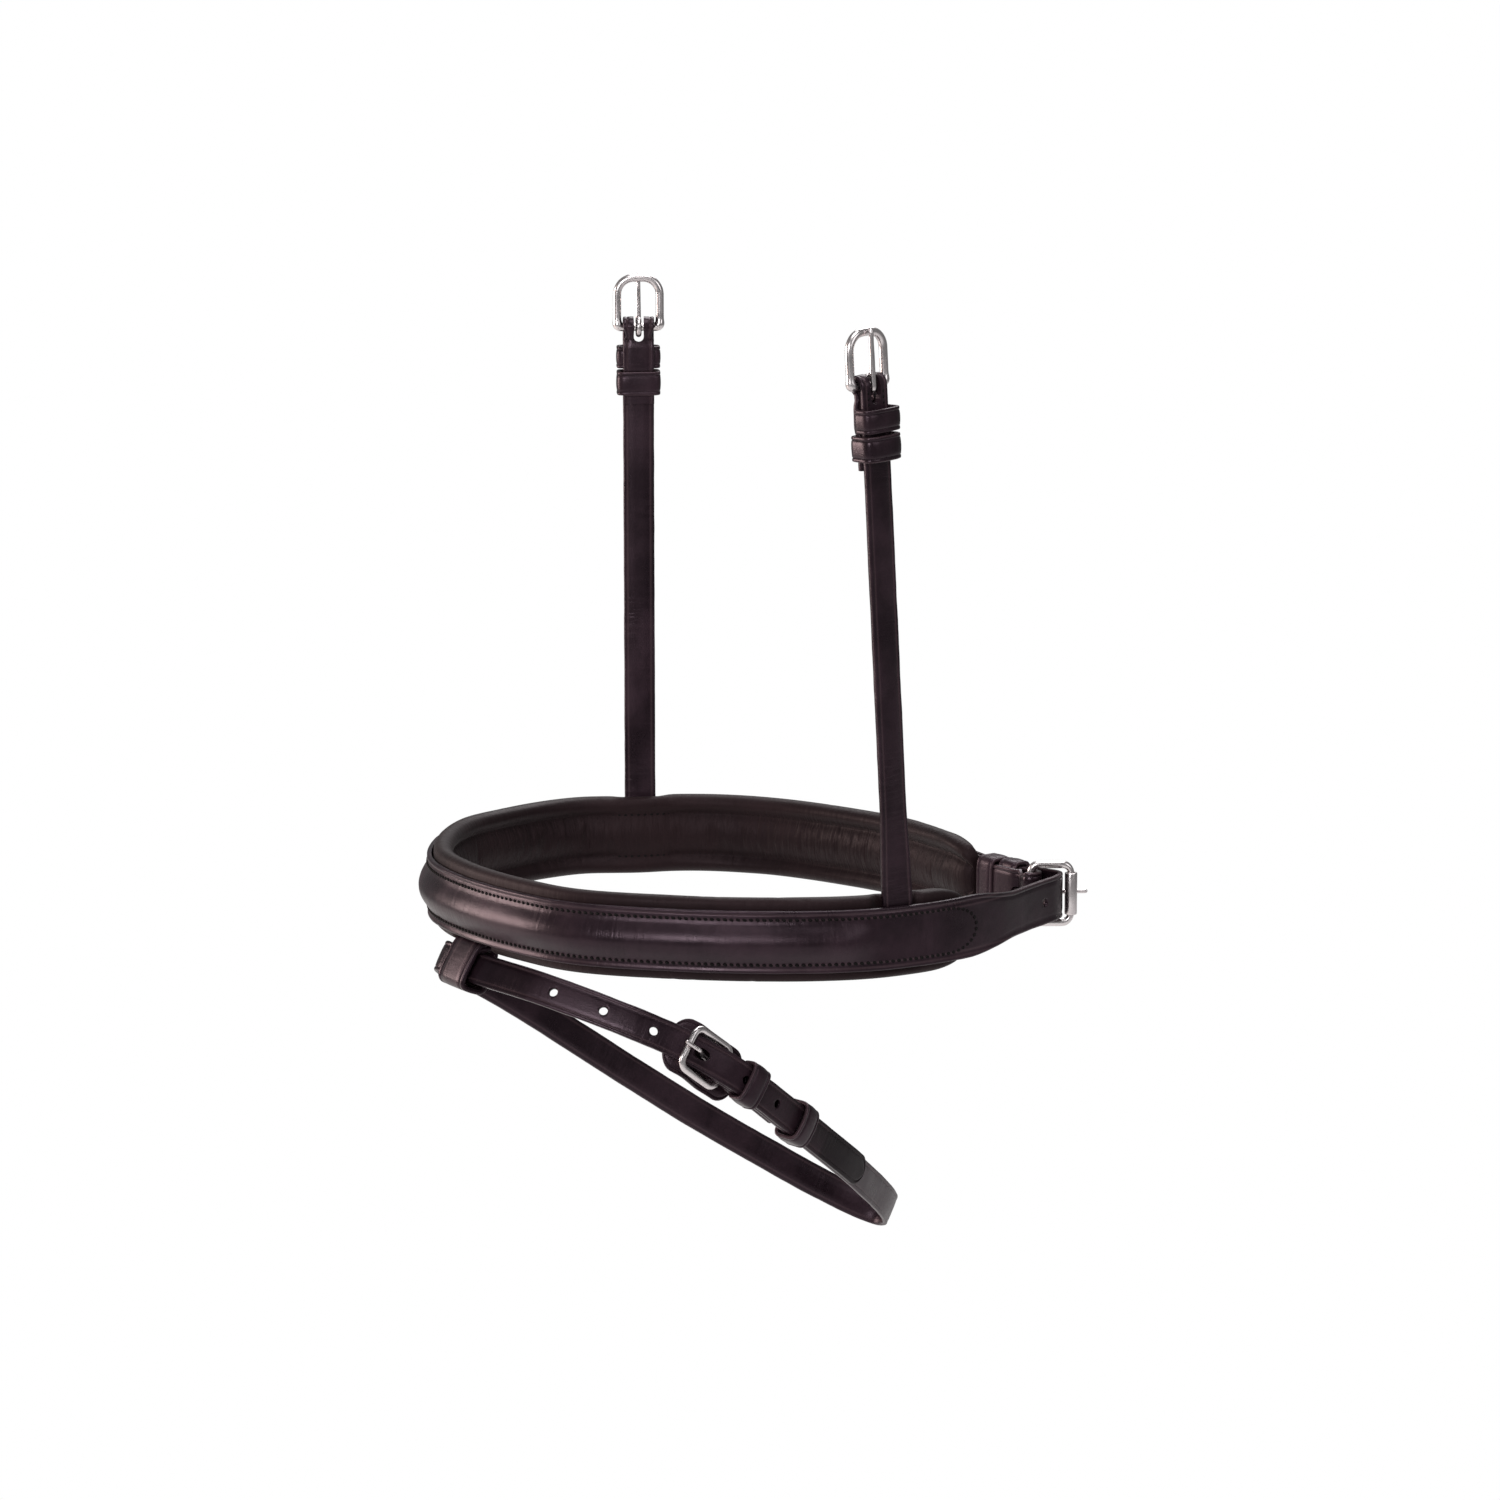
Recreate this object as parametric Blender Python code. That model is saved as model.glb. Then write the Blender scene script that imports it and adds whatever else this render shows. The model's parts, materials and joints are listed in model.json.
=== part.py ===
"""Flash noseband: a padded leather noseband with two hangers and a flash strap.

Metres, +Z up towards the poll. The origin is the middle of the ring that goes round the nose,
at half the band's height. -Y is the front of the nose and +X is the horse's left side.
"""
import math

import bmesh
import bpy
from mathutils import Vector

# Clearances
GAP = 0.0003                # between pieces that touch
RUN = 0.0004                # between a keeper and what slides in it
CUT = 0.0006                # how far a cutter runs past what it cuts

# The noseband's strap
RING_HALF_WIDTH = 0.108     # middle of the ring to the cheek
RING_HALF_DEPTH = 0.115     # middle of the ring to the front of the nose
BAND_HEIGHT = 0.023         # the outer strap where it is padded
BAND_THICK = 0.0022         # its leather
BILLET_HEIGHT = 0.017       # the jaw strap, both ends
STITCH_INSET = 0.0032       # stitch row to the strap's edge
RAISE = 0.0033              # how far the core lifts the outer strap
CORE_REACH = 0.163          # nose to each end of the raised core
CORE_TAPER = 0.012          # length over which the raised part fades out
EDGE_ROUND = 0.0005         # worn corner of a strap
BAND_STEP = 0.0085          # length of straight band between two sections

# The padded lining
PAD_HEIGHT = 0.030
PAD_DEPTH = 0.0085
LINING_THICK = 0.0010
PAD_NEAR_REACH = 0.2120     # nose to the end of the padding on the left
PAD_TAPER = 0.016           # length over which each end of the padding closes
NARROWING = 0.030           # length over which the band narrows to the jaw billet
PAD_TO_CHAPE = 0.0065       # end of the padding to the turned-in end of the jaw strap

# Hangers
HANGER_REACH_LEFT = 0.1810  # nose to the hanger, along the band
HANGER_REACH_RIGHT = 0.1830
HANGER_WIDTH = 0.012
HANGER_THICK = 0.0022
HANGER_HEIGHT = 0.2005      # band's middle to the buckle's heel bar
HANGER_TAIL = 0.009         # end of the strap below the band's middle
HANGER_TURN_IN = 0.040      # turned-back end below the buckle
HANGER_LEAN_LEFT = -0.0105  # lean of the strap's top along Y
HANGER_LEAN_RIGHT = 0.0
HANGER_TWIST_LEFT = 0.28    # turn of the strap's face about Z, radians
HANGER_TWIST_RIGHT = -0.10
TWIST_HEIGHT = 0.050        # the strap's face has turned by here
POCKET_EASE = 0.006         # length over which the lining dips beside a hanger or the tab

# Hanger buckles
HANGER_FRAME_WIDTH = 0.0196
HANGER_FRAME_REACH = 0.0190     # heel bar to front bar, middle to middle
HANGER_WIRE = 0.0030
HANGER_HEEL_ROUND = 0.0020
HANGER_ARCH_ROUND = 0.0070
HANGER_TONGUE_WIRE = 0.0022

# Keepers
KEEPER_WIDTH = 0.0092
KEEPER_THICK = 0.0015
HANGER_KEEPER_DROP = 0.0116     # heel bar to the middle of the fixed keeper
HANGER_KEEPER_PITCH = 0.0103    # fixed keeper to running keeper

# Jaw buckle
JAW_FRAME_HEIGHT = 0.0252
JAW_FRAME_REACH = 0.0150
JAW_FRAME_TURN = 0.78           # frame's swing from the strap's heading, radians
JAW_WIRE = 0.0030
JAW_CORNER = 0.0032
JAW_CROSSBAR_WIRE = 0.0024
JAW_TONGUE_WIRE = 0.0022
JAW_PASS = 0.0082               # heel bar to the billet that goes through the frame
JAW_TURN_IN = 0.024
JAW_HOLE_LENGTH = 0.0056        # the hole that the tongue has drawn out
JAW_TIP_REACH = 0.078           # heel bar to the tip of the billet
JAW_KEEPER_DROP = 0.0122
JAW_KEEPER_PITCH = 0.0100
ROLLER_DIAMETER = 0.0047
ROLLER_LENGTH = 0.0160

# Flash tab
TAB_WIDTH = 0.018
TAB_THICK = 0.0020
TAB_DROP = 0.0225               # band's middle to the middle of the tab's slot
TAB_SLOT_HEIGHT = 0.0148
TAB_SLOT_DEPTH = 0.0080
TAB_HEM = 0.0055                # the part of the tab sewn behind the band
TAB_TILT = 0.38                 # lean of the tab's foot to the front, radians
TAB_BACK = 0.0004               # the strap lies this far before the middle of the slot
TAB_RAISE = 0.0010              # and this far below it
TAB_CORNER = 0.0026
TAB_INSET = 0.0012              # room for the band's curve between it and the flat hem

# Flash strap
FLASH_WIDTH = 0.012
FLASH_THICK = 0.0020
FLASH_REACH = 0.208             # tab to the far end of the loop
FLASH_SLOPE = 0.5618            # fall of the loop towards the chin, radians
FLASH_ROLL = 0.2094             # turn of the loop about its long middle, radians
FLASH_STEP = 0.0095             # length of straight strap between two sections
FLASH_TIP_REACH = 0.101         # heel bar to the tip of the billet
FLASH_TURN_IN = 0.034
FLASH_FRAME_WIDTH = 0.0190
FLASH_FRAME_REACH = 0.0185
FLASH_FRAME_TURN = 0.105        # frame's lift from the strap, radians
FLASH_WIRE = 0.0028
FLASH_CORNER = 0.0032
FLASH_TONGUE_WIRE = 0.0019
FLASH_KEEPER_DROP = 0.0115
FLASH_KEEPER_PITCH = 0.0355
GUARD_WIDTH = 0.024
GUARD_LENGTH = 0.040
GUARD_THICK = 0.0013
FLASH_HOLE_LENGTH = 0.0068      # the hole that the tongue has drawn out
FLASH_PASS = 0.0125             # heel bar to that hole, along the strap
GUARD_BEHIND = 0.014            # guard's reach past the heel bar towards the keeper

# Holes
HOLE_DIAMETER = 0.0042
JAW_HOLE_PITCH = 0.020
FLASH_HOLE_PITCH = 0.0198
SLOT_WIDTH = 0.0036             # the slit that a tongue works in

# Counts
JAW_HOLES_BEHIND = 2
JAW_HOLES_AHEAD = 2
FLASH_HOLES_BEHIND = 3
FLASH_HOLES_AHEAD = 2
WIRE_SIDES = 8
HOLE_SIDES = 10
FOLD_STEPS = 8
CORNER_STEPS = 4
CLOSING_SHARE = 2.3         # fold radii along which a turned end closes on its strap
TIP_STEP_SHARES = (0.0, 0.10, 0.28, 0.60, 1.0)
BEND_STEP_ANGLE = 0.35      # turn of a strap between two sections, radians

# Middle of the band seen from above, from the jaw buckle round the nose and back again,
# as shares of the ring's half width and half depth.
RING_PLAN_SHARES = (
    (0.667, 0.800), (0.716, 0.726), (0.773, 0.640), (0.868, 0.500), (0.945, 0.325), (0.975, 0.180),
    (0.981, 0.040), (0.952, -0.115), (0.850, -0.345), (0.698, -0.573), (0.463, -0.820),
    (0.214, -0.929), (-0.086, -0.990), (-0.376, -0.981), (-0.666, -0.859),
    (-0.851, -0.710), (-0.946, -0.540), (-1.008, -0.370), (-1.025, -0.200),
    (-0.960, 0.000), (-0.922, 0.132), (-0.842, 0.270), (-0.682, 0.425),
    (-0.455, 0.557), (-0.180, 0.668), (0.060, 0.708), (0.330, 0.725), (0.470, 0.752),
    (0.558, 0.783),
)
NOSE_PLAN_SHARE = -0.037    # where the tab sits, as a share of the half width

# Middle of the flash strap: along the loop, across it and off its plane, as shares of
# the loop's reach. From the tip's side of the buckle to the tab, then round to the buckle.
FLASH_NEAR_SHARES = (
    (0.297, 0.287, 0.004), (0.224, 0.255, 0.003), (0.131, 0.191, 0.001), (0.075, 0.139, 0.0),
    (0.030, 0.070, 0.0), (0.004, 0.030, 0.0), (-0.003, -0.005, 0.003), (-0.009, -0.048, 0.008),
)
FLASH_FAR_SHARES = (
    (-0.012, -0.082, 0.014), (0.005, -0.107, 0.016), (0.045, -0.113, 0.016),
    (0.124, -0.109, 0.016), (0.222, -0.111, 0.013), (0.323, -0.117, 0.008),
    (0.472, -0.124, 0.001), (0.622, -0.130, -0.005), (0.771, -0.133, -0.007),
    (0.920, -0.131, -0.008), (1.000, -0.121, -0.007), (1.042, -0.095, -0.006),
    (1.043, -0.062, -0.005), (1.012, -0.020, -0.004), (0.946, 0.037, -0.005),
    (0.805, 0.137, -0.008), (0.680, 0.205, -0.009), (0.571, 0.257, -0.008),
    (0.489, 0.290, -0.006), (0.432, 0.304, -0.003), (0.400, 0.306, -0.001),
)

LEATHER = ((0.030, 0.018, 0.021), 0.38)
SOFT_LEATHER = ((0.040, 0.026, 0.028), 0.62)
FOAM = ((0.55, 0.50, 0.42), 0.95)
STEEL = ((0.72, 0.70, 0.69), 0.18)


def clear_scene():
    """Remove every object."""
    for item in list(bpy.data.objects):
        bpy.data.objects.remove(item, do_unlink=True)


def make_material(name, finish, metallic=0.0):
    """A Principled material of one colour and roughness."""
    colour, roughness = finish
    material = bpy.data.materials.new(name)
    material.use_nodes = True
    shader = material.node_tree.nodes["Principled BSDF"]
    shader.inputs["Base Color"].default_value = (*colour, 1.0)
    shader.inputs["Roughness"].default_value = roughness
    shader.inputs["Metallic"].default_value = metallic
    return material


def place(name, mesh_data, finish, metallic=0.0, origin=None):
    """Turn a bmesh into a named object whose own origin is the given point."""
    centre = origin or Vector((0.0, 0.0, 0.0))
    bmesh.ops.translate(mesh_data, verts=mesh_data.verts, vec=-centre)
    bmesh.ops.recalc_face_normals(mesh_data, faces=mesh_data.faces)
    mesh = bpy.data.meshes.new(name)
    mesh_data.to_mesh(mesh)
    mesh_data.free()
    mesh.shade_smooth()
    mesh.set_sharp_from_angle(angle=math.radians(40.0))
    item = bpy.data.objects.new(name, mesh)
    item.location = centre
    item.data.materials.append(make_material(name, finish, metallic))
    bpy.context.scene.collection.objects.link(item)
    return item


def cut(item, cutters):
    """Cut a piece with each cutter and leave the cutters as guides."""
    for cutter in cutters:
        cutter.hide_render = True
        cutter.display_type = "WIRE"
        boolean = item.modifiers.new(cutter.name, "BOOLEAN")
        boolean.operation = "DIFFERENCE"
        boolean.solver = "EXACT"
        boolean.object = cutter


def skin(rings, closed=False):
    """Join rings of points into one closed skin, with flat ends unless it closes on itself."""
    mesh_data = bmesh.new()
    loops = [[mesh_data.verts.new(point) for point in ring] for ring in rings]
    count = len(loops[0])
    pairs = list(zip(loops, loops[1:]))
    if closed:
        pairs.append((loops[-1], loops[0]))
    for first, second in pairs:
        for index in range(count):
            following = (index + 1) % count
            corners = (first[index], first[following], second[following], second[index])
            mesh_data.faces.new(corners)
    if not closed:
        mesh_data.faces.new(list(reversed(loops[0])))
        mesh_data.faces.new(loops[-1])
    return mesh_data


def smooth_route(points, spacing):
    """Points along a centripetal spline through the given points, closer where it bends."""
    ends = [points[0] * 2.0 - points[1]] + list(points) + [points[-1] * 2.0 - points[-2]]
    fine = []
    steps = 24
    for p0, p1, p2, p3 in zip(ends, ends[1:], ends[2:], ends[3:]):
        k0 = 0.0
        k1 = k0 + math.sqrt((p1 - p0).length)
        k2 = k1 + math.sqrt((p2 - p1).length)
        k3 = k2 + math.sqrt((p3 - p2).length)
        for step in range(steps):
            k = k1 + (k2 - k1) * step / steps
            a1 = p0.lerp(p1, (k - k0) / (k1 - k0))
            a2 = p1.lerp(p2, (k - k1) / (k2 - k1))
            a3 = p2.lerp(p3, (k - k2) / (k3 - k2))
            b1 = a1.lerp(a2, (k - k0) / (k2 - k0))
            b2 = a2.lerp(a3, (k - k1) / (k3 - k1))
            fine.append(b1.lerp(b2, (k - k1) / (k2 - k1)))
    fine.append(points[-1].copy())
    headings = slopes(fine)
    measures = [0.0]
    for index in range(1, len(fine)):
        length = (fine[index] - fine[index - 1]).length
        bend = headings[index].angle(headings[index - 1], 0.0)
        measures.append(measures[-1] + length / spacing + bend / BEND_STEP_ANGLE)
    count = max(2, round(measures[-1]))
    return [point_at(fine, measures, measures[-1] * step / count) for step in range(count + 1)]


def running_lengths(points):
    """Length along the points up to each one."""
    lengths = [0.0]
    for start, end in zip(points, points[1:]):
        lengths.append(lengths[-1] + (end - start).length)
    return lengths


def point_at(points, lengths, distance):
    """The point at a length along the points, carried straight on past either end."""
    index = 1
    while index < len(points) - 1 and lengths[index] < distance:
        index += 1
    share = (distance - lengths[index - 1]) / (lengths[index] - lengths[index - 1])
    return points[index - 1] + (points[index] - points[index - 1]) * share


def slopes(points):
    """Unit heading at each point."""
    headings = []
    for index in range(len(points)):
        before = points[max(index - 1, 0)]
        after = points[min(index + 1, len(points) - 1)]
        headings.append((after - before).normalized())
    return headings


def stations_of(points, width_axis):
    """Place, heading and outer normal at each point of a strap whose width is one axis."""
    return [(point, heading, width_axis.cross(heading).normalized())
            for point, heading in zip(points, slopes(points))]


def ease(value):
    """Smooth step from 0 to 1."""
    value = min(max(value, 0.0), 1.0)
    return value * value * (3.0 - 2.0 * value)


def strap_ring(station, width, thick):
    """Section of a flat strap with worn corners, round its middle."""
    point, heading, normal = station
    across = heading.cross(normal)
    half = width / 2.0
    deep = thick / 2.0
    bevel = min(EDGE_ROUND, half / 3.0, deep / 2.0)
    outline = (
        (half - bevel, deep), (half, deep - bevel), (half, bevel - deep), (half - bevel, -deep),
        (bevel - half, -deep), (-half, bevel - deep), (-half, deep - bevel), (bevel - half, deep),
    )
    return [point + across * side + normal * out for side, out in outline]


def tip_width(distance, width, length):
    """Width of a strap near its rounded tip, at a distance from the end."""
    if distance >= length:
        return width
    share = 1.0 - max(distance, EDGE_ROUND / 2.0) / length
    return width * math.sqrt(1.0 - share * share)


def with_tip(stations, length):
    """Stations of a strap with closer ones along its rounded tip, at their start."""
    tip = [station_at(stations, length * share) for share in TIP_STEP_SHARES]
    total = running_lengths([station[0] for station in stations])
    return tip + [item for item, so_far in zip(stations, total) if so_far > length + EDGE_ROUND]


def fold_stations(stations, bar_radius, thick, turn_in, spacing):
    """Carry a strap round a bar and back along its own inner side.

    Returns the added stations and the middle of the bar.
    """
    point, heading, normal = stations[-1]
    turn_radius = bar_radius + GAP + thick / 2.0
    centre = point - normal * turn_radius
    added = []
    for step in range(1, FOLD_STEPS + 1):
        angle = math.pi * step / FOLD_STEPS
        out = normal * math.cos(angle) + heading * math.sin(angle)
        along = heading * math.cos(angle) - normal * math.sin(angle)
        added.append((centre + out * turn_radius, along, out))
    places = [station[0] for station in stations]
    places.reverse()
    lengths = running_lengths(places)
    normals = [station[2] for station in reversed(stations)]
    back_points = []
    close_length = turn_radius * CLOSING_SHARE
    count = max(1, round((turn_in - close_length) / spacing))
    distances = [close_length * step / 3.0 for step in (1, 2, 3)]
    distances += [close_length + (turn_in - close_length) * step / count
                  for step in range(1, count + 1)]
    for distance in distances:
        index = min(range(len(lengths)), key=lambda item: abs(lengths[item] - distance))
        closing = ease(distance / close_length)
        offset = turn_radius * 2.0 * (1.0 - closing) + (thick + GAP) * closing
        place_on = point_at(places, lengths, distance)
        back_points.append((place_on - normals[index] * offset, -normals[index]))
    headings = slopes([centre - normal * turn_radius] + [item[0] for item in back_points])[1:]
    for (place_on, outer), along in zip(back_points, headings):
        added.append((place_on, along, outer))
    return added, centre


def wire_ring(point, first, second, radius):
    """Round section of a wire."""
    ring = []
    for step in range(WIRE_SIDES):
        angle = 2.0 * math.pi * (step + 0.5) / WIRE_SIDES
        ring.append(point + first * radius * math.cos(angle) + second * radius * math.sin(angle))
    return ring


def rounded_outline(reach, width, heel_round, front_round):
    """Closed outline of a buckle frame in its own plane, from the heel bar forwards.

    Each point carries its place, its outward direction and whether it is on the front bar.
    """
    half = width / 2.0
    corners = (
        (heel_round, half - heel_round, heel_round, 180.0, 90.0),
        (reach - front_round, half - front_round, front_round, 90.0, 0.0),
        (reach - front_round, front_round - half, front_round, 0.0, -90.0),
        (heel_round, heel_round - half, heel_round, -90.0, -180.0),
    )
    outline = []
    for along, across, radius, start, end in corners:
        for step in range(CORNER_STEPS + 1):
            angle = math.radians(start + (end - start) * step / CORNER_STEPS)
            out = (math.cos(angle), math.sin(angle))
            place_on = (along + radius * out[0], across + radius * out[1])
            outline.append((place_on, out))
    return outline


def buckle_frame(name, centre, forward, bar_axis, sizes, origin):
    """A closed wire frame. sizes are reach, width, wire, heel round and front round."""
    reach, width, wire, heel_round, front_round = sizes
    face = forward.cross(bar_axis)
    rings = []
    for place_on, out in rounded_outline(reach, width - wire, heel_round, front_round):
        point = centre + forward * place_on[0] + bar_axis * place_on[1]
        outward = forward * out[0] + bar_axis * out[1]
        rings.append(wire_ring(point, outward, face, wire / 2.0))
    return place(name, skin(rings, closed=True), STEEL, 1.0, origin)


def tongue(name, centre, bar_axis, points, bar_radius, wire, origin):
    """A pointed wire hooked round a bar; points run from the hook to the tip."""
    turn_radius = bar_radius + GAP + wire / 2.0
    first = points[0] - centre
    distance = first.length
    lean = math.acos(min(1.0, turn_radius / distance))
    toward = first.normalized()
    side = bar_axis.cross(toward)
    hook = []
    steps = 10
    sweep_angle = math.radians(285.0)
    for step in range(steps + 1):
        angle = lean + sweep_angle * (1.0 - step / steps)
        hook.append(centre + (toward * math.cos(angle) + side * math.sin(angle)) * turn_radius)
    route = hook + list(points)
    rings = []
    for index, (point, heading) in enumerate(zip(route, slopes(route))):
        share = max(0.0, (index - steps) / (len(route) - 1 - steps))
        radius = wire / 2.0 * (1.0 - 0.3 * share)
        rings.append(wire_ring(point, bar_axis.cross(heading).normalized(), bar_axis, radius))
    last_point, last_heading = route[-1], slopes(route)[-1]
    nose = last_point + last_heading * wire / 4.0
    rings.append(wire_ring(nose, bar_axis.cross(last_heading).normalized(), bar_axis, wire / 6.0))
    return place(name, skin(rings), STEEL, 1.0, origin)


def keeper(name, station, hold_width, depth, origin):
    """A leather loop round a strap, open along it.

    hold_width is the strap's width and depth the room on each side of the station.
    """
    point, heading, normal = station
    across = heading.cross(normal)
    half = hold_width / 2.0 + RUN + KEEPER_THICK / 2.0
    high = depth + RUN + KEEPER_THICK / 2.0
    radius = KEEPER_THICK / 2.0 + EDGE_ROUND
    rings = []
    corners = ((half, high, 0.0), (-half, high, 90.0), (-half, -high, 180.0), (half, -high, 270.0))
    for side, out, start in corners:
        middle_side = side - math.copysign(radius, side)
        middle_out = out - math.copysign(radius, out)
        for step in range(3):
            angle = math.radians(start + 45.0 * step)
            outward = across * math.cos(angle) + normal * math.sin(angle)
            place_on = point + across * middle_side + normal * middle_out + outward * radius
            rings.append(keeper_ring(place_on, outward, heading))
    return place(name, skin(rings, closed=True), LEATHER, origin=origin)


def keeper_ring(point, outward, along):
    """Section of a keeper's leather: thin margins and a slightly crowned middle."""
    half = KEEPER_WIDTH / 2.0
    deep = KEEPER_THICK / 2.0
    bevel = EDGE_ROUND / 2.0
    outline = ((half, -deep), (half, deep - bevel), (half - bevel, deep), (bevel - half, deep),
               (-half, deep - bevel), (-half, -deep))
    return [point + along * side + outward * out for side, out in outline]


def hole_cutter(name, station, diameter, depth, length=None):
    """A punch through a strap at a station, round unless its length along the strap is given."""
    point, heading, normal = station
    across = heading.cross(normal)
    rings = []
    for out in (-depth / 2.0 - CUT, depth / 2.0 + CUT):
        ring = []
        for step in range(HOLE_SIDES):
            angle = 2.0 * math.pi * step / HOLE_SIDES
            reach = (heading * math.cos(angle) * (length or diameter)
                     + across * math.sin(angle) * diameter)
            ring.append(point + normal * out + reach / 2.0)
        rings.append(ring)
    return place(name, skin(rings), STEEL)


def slot_cutter(name, centre, forward, bar_axis, sizes):
    """A box round a bar's middle. sizes are reach behind, reach ahead, depth and width."""
    behind, ahead, depth, width = sizes
    out = forward.cross(bar_axis)
    rings = []
    for along in (-behind, ahead):
        rings.append([centre + forward * along + out * side_out + bar_axis * side
                      for side_out, side in ((depth, width / 2.0), (-depth, width / 2.0),
                                             (-depth, -width / 2.0), (depth, -width / 2.0))])
    return place(name, skin(rings), STEEL)


def nearest(stations, point):
    """Index of the station nearest to a point."""
    return min(range(len(stations)), key=lambda index: (stations[index][0] - point).length)


def station_at(stations, distance):
    """Station at a length along a list of stations."""
    places = [station[0] for station in stations]
    lengths = running_lengths(places)
    index = 1
    while index < len(places) - 1 and lengths[index] < distance:
        index += 1
    share = (distance - lengths[index - 1]) / (lengths[index] - lengths[index - 1])
    before, after = stations[index - 1], stations[index]
    heading = before[1].lerp(after[1], share).normalized()
    normal = before[2].lerp(after[2], share)
    normal = (normal - heading * normal.dot(heading)).normalized()
    return before[0].lerp(after[0], share), heading, normal


def length_to(stations, index):
    """Length along the stations up to one of them."""
    return running_lengths([station[0] for station in stations])[index]


class Band:
    """Routes along the ring, shared by every piece of the noseband."""

    up = Vector((0.0, 0.0, 1.0))

    def __init__(self):
        plan = [Vector((RING_HALF_WIDTH * x_share, RING_HALF_DEPTH * y_share, 0.0))
                for x_share, y_share in RING_PLAN_SHARES]
        self.far_end = plan[-1]
        heading = (plan[-1] - plan[-2]).normalized()
        turn = math.atan2(heading.y, heading.x) + JAW_FRAME_TURN
        self.frame_forward = Vector((math.cos(turn), math.sin(turn), 0.0))
        self.fold_radius = JAW_WIRE / 2.0 + GAP + BAND_THICK / 2.0
        outward = Vector((-heading.y, heading.x, 0.0))
        self.heel = self.far_end - outward * self.fold_radius
        passing = self.heel + self.frame_forward * JAW_PASS
        ring_points = smooth_route(plan, BAND_STEP)
        ring = stations_of(ring_points, self.up)
        self.billet_lift = BAND_THICK + GAP
        over = []
        lengths = running_lengths([station[0] for station in ring])
        first_over = self.fold_radius * 2.6
        laps = 7
        for step in range(laps):
            back = JAW_TIP_REACH - (JAW_TIP_REACH - first_over) * step / (laps - 1)
            place_on, _, normal = station_at(ring, lengths[-1] - back)
            over.append(place_on + normal * self.billet_lift)
        whole = smooth_route(over + [passing] + plan, BAND_STEP)
        self.stations = stations_of(whole, self.up)
        nose = Vector((RING_HALF_WIDTH * NOSE_PLAN_SHARE, -RING_HALF_DEPTH, 0.0))
        self.nose_index = nearest(self.stations, nose)
        self.nose_length = length_to(self.stations, self.nose_index)
        self.passing = passing
        self.fold, self.heel = fold_stations(
            self.stations, JAW_WIRE / 2.0, BAND_THICK, JAW_TURN_IN, BAND_STEP)
        self.total = length_to(self.stations, len(self.stations) - 1)
        self.pad_far_reach = self.total - self.nose_length - JAW_TURN_IN - PAD_TO_CHAPE

    def reach(self, index):
        """Signed length from the nose to a station; the left side is negative."""
        return length_to(self.stations, index) - self.nose_length

    def at(self, distance):
        """Station at a signed length from the nose; the left side is negative."""
        return station_at(self.stations, self.nose_length + distance)


def band_height_at(distance, band):
    """Height of the outer strap at a signed length from the nose."""
    right_end = band.pad_far_reach - PAD_TAPER
    wide = ease((distance + PAD_NEAR_REACH + NARROWING) / NARROWING)
    wide *= ease((right_end - distance) / PAD_TAPER)
    return BILLET_HEIGHT + (BAND_HEIGHT - BILLET_HEIGHT) * wide


def raise_at(distance):
    """How far the outer strap is lifted at a signed length from the nose."""
    return RAISE * ease((CORE_REACH + CORE_TAPER - abs(distance)) / CORE_TAPER)


NARROW_INSET_SHARE = 0.4     # most that a stitch row stands in from a narrow end
CORE_OUTLINE_SHARES = ((0.78, 0.0), (0.60, 0.30), (0.0, 1.0), (-0.60, 0.30), (-0.78, 0.0))
BULGE_SHARES = ((0.0, 1.0), (0.52, 0.62), (1.0, 0.0))


def band_ring(station, height, lift):
    """Section of the outer strap: flat margins and a raised middle."""
    point, _, normal = station
    up = Band.up
    half = height / 2.0
    deep = BAND_THICK / 2.0
    crest = half - min(STITCH_INSET, half * NARROW_INSET_SHARE)
    outer = [(half - EDGE_ROUND, deep)]
    outer += [(crest * z_share, deep + lift * out_share)
              for z_share, out_share in reversed(BULGE_SHARES)]
    outer += [(-z, out) for z, out in reversed(outer[:-1])]
    edge = half
    inner_crest = crest - min(BAND_THICK / 2.0, crest * NARROW_INSET_SHARE)
    inner = [(inner_crest * z_share, lift * out_share - deep)
             for z_share, out_share in BULGE_SHARES if z_share != BULGE_SHARES[1][0]]
    lower = [(-z, out) for z, out in reversed(inner[1:])]
    outline = outer + [(-edge, deep - EDGE_ROUND), (-edge, EDGE_ROUND - deep)]
    outline += [(EDGE_ROUND - edge, -deep)] + lower + inner
    outline += [(edge - EDGE_ROUND, -deep), (edge, EDGE_ROUND - deep), (edge, deep - EDGE_ROUND)]
    return [point + up * z + normal * out for z, out in outline]


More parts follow.
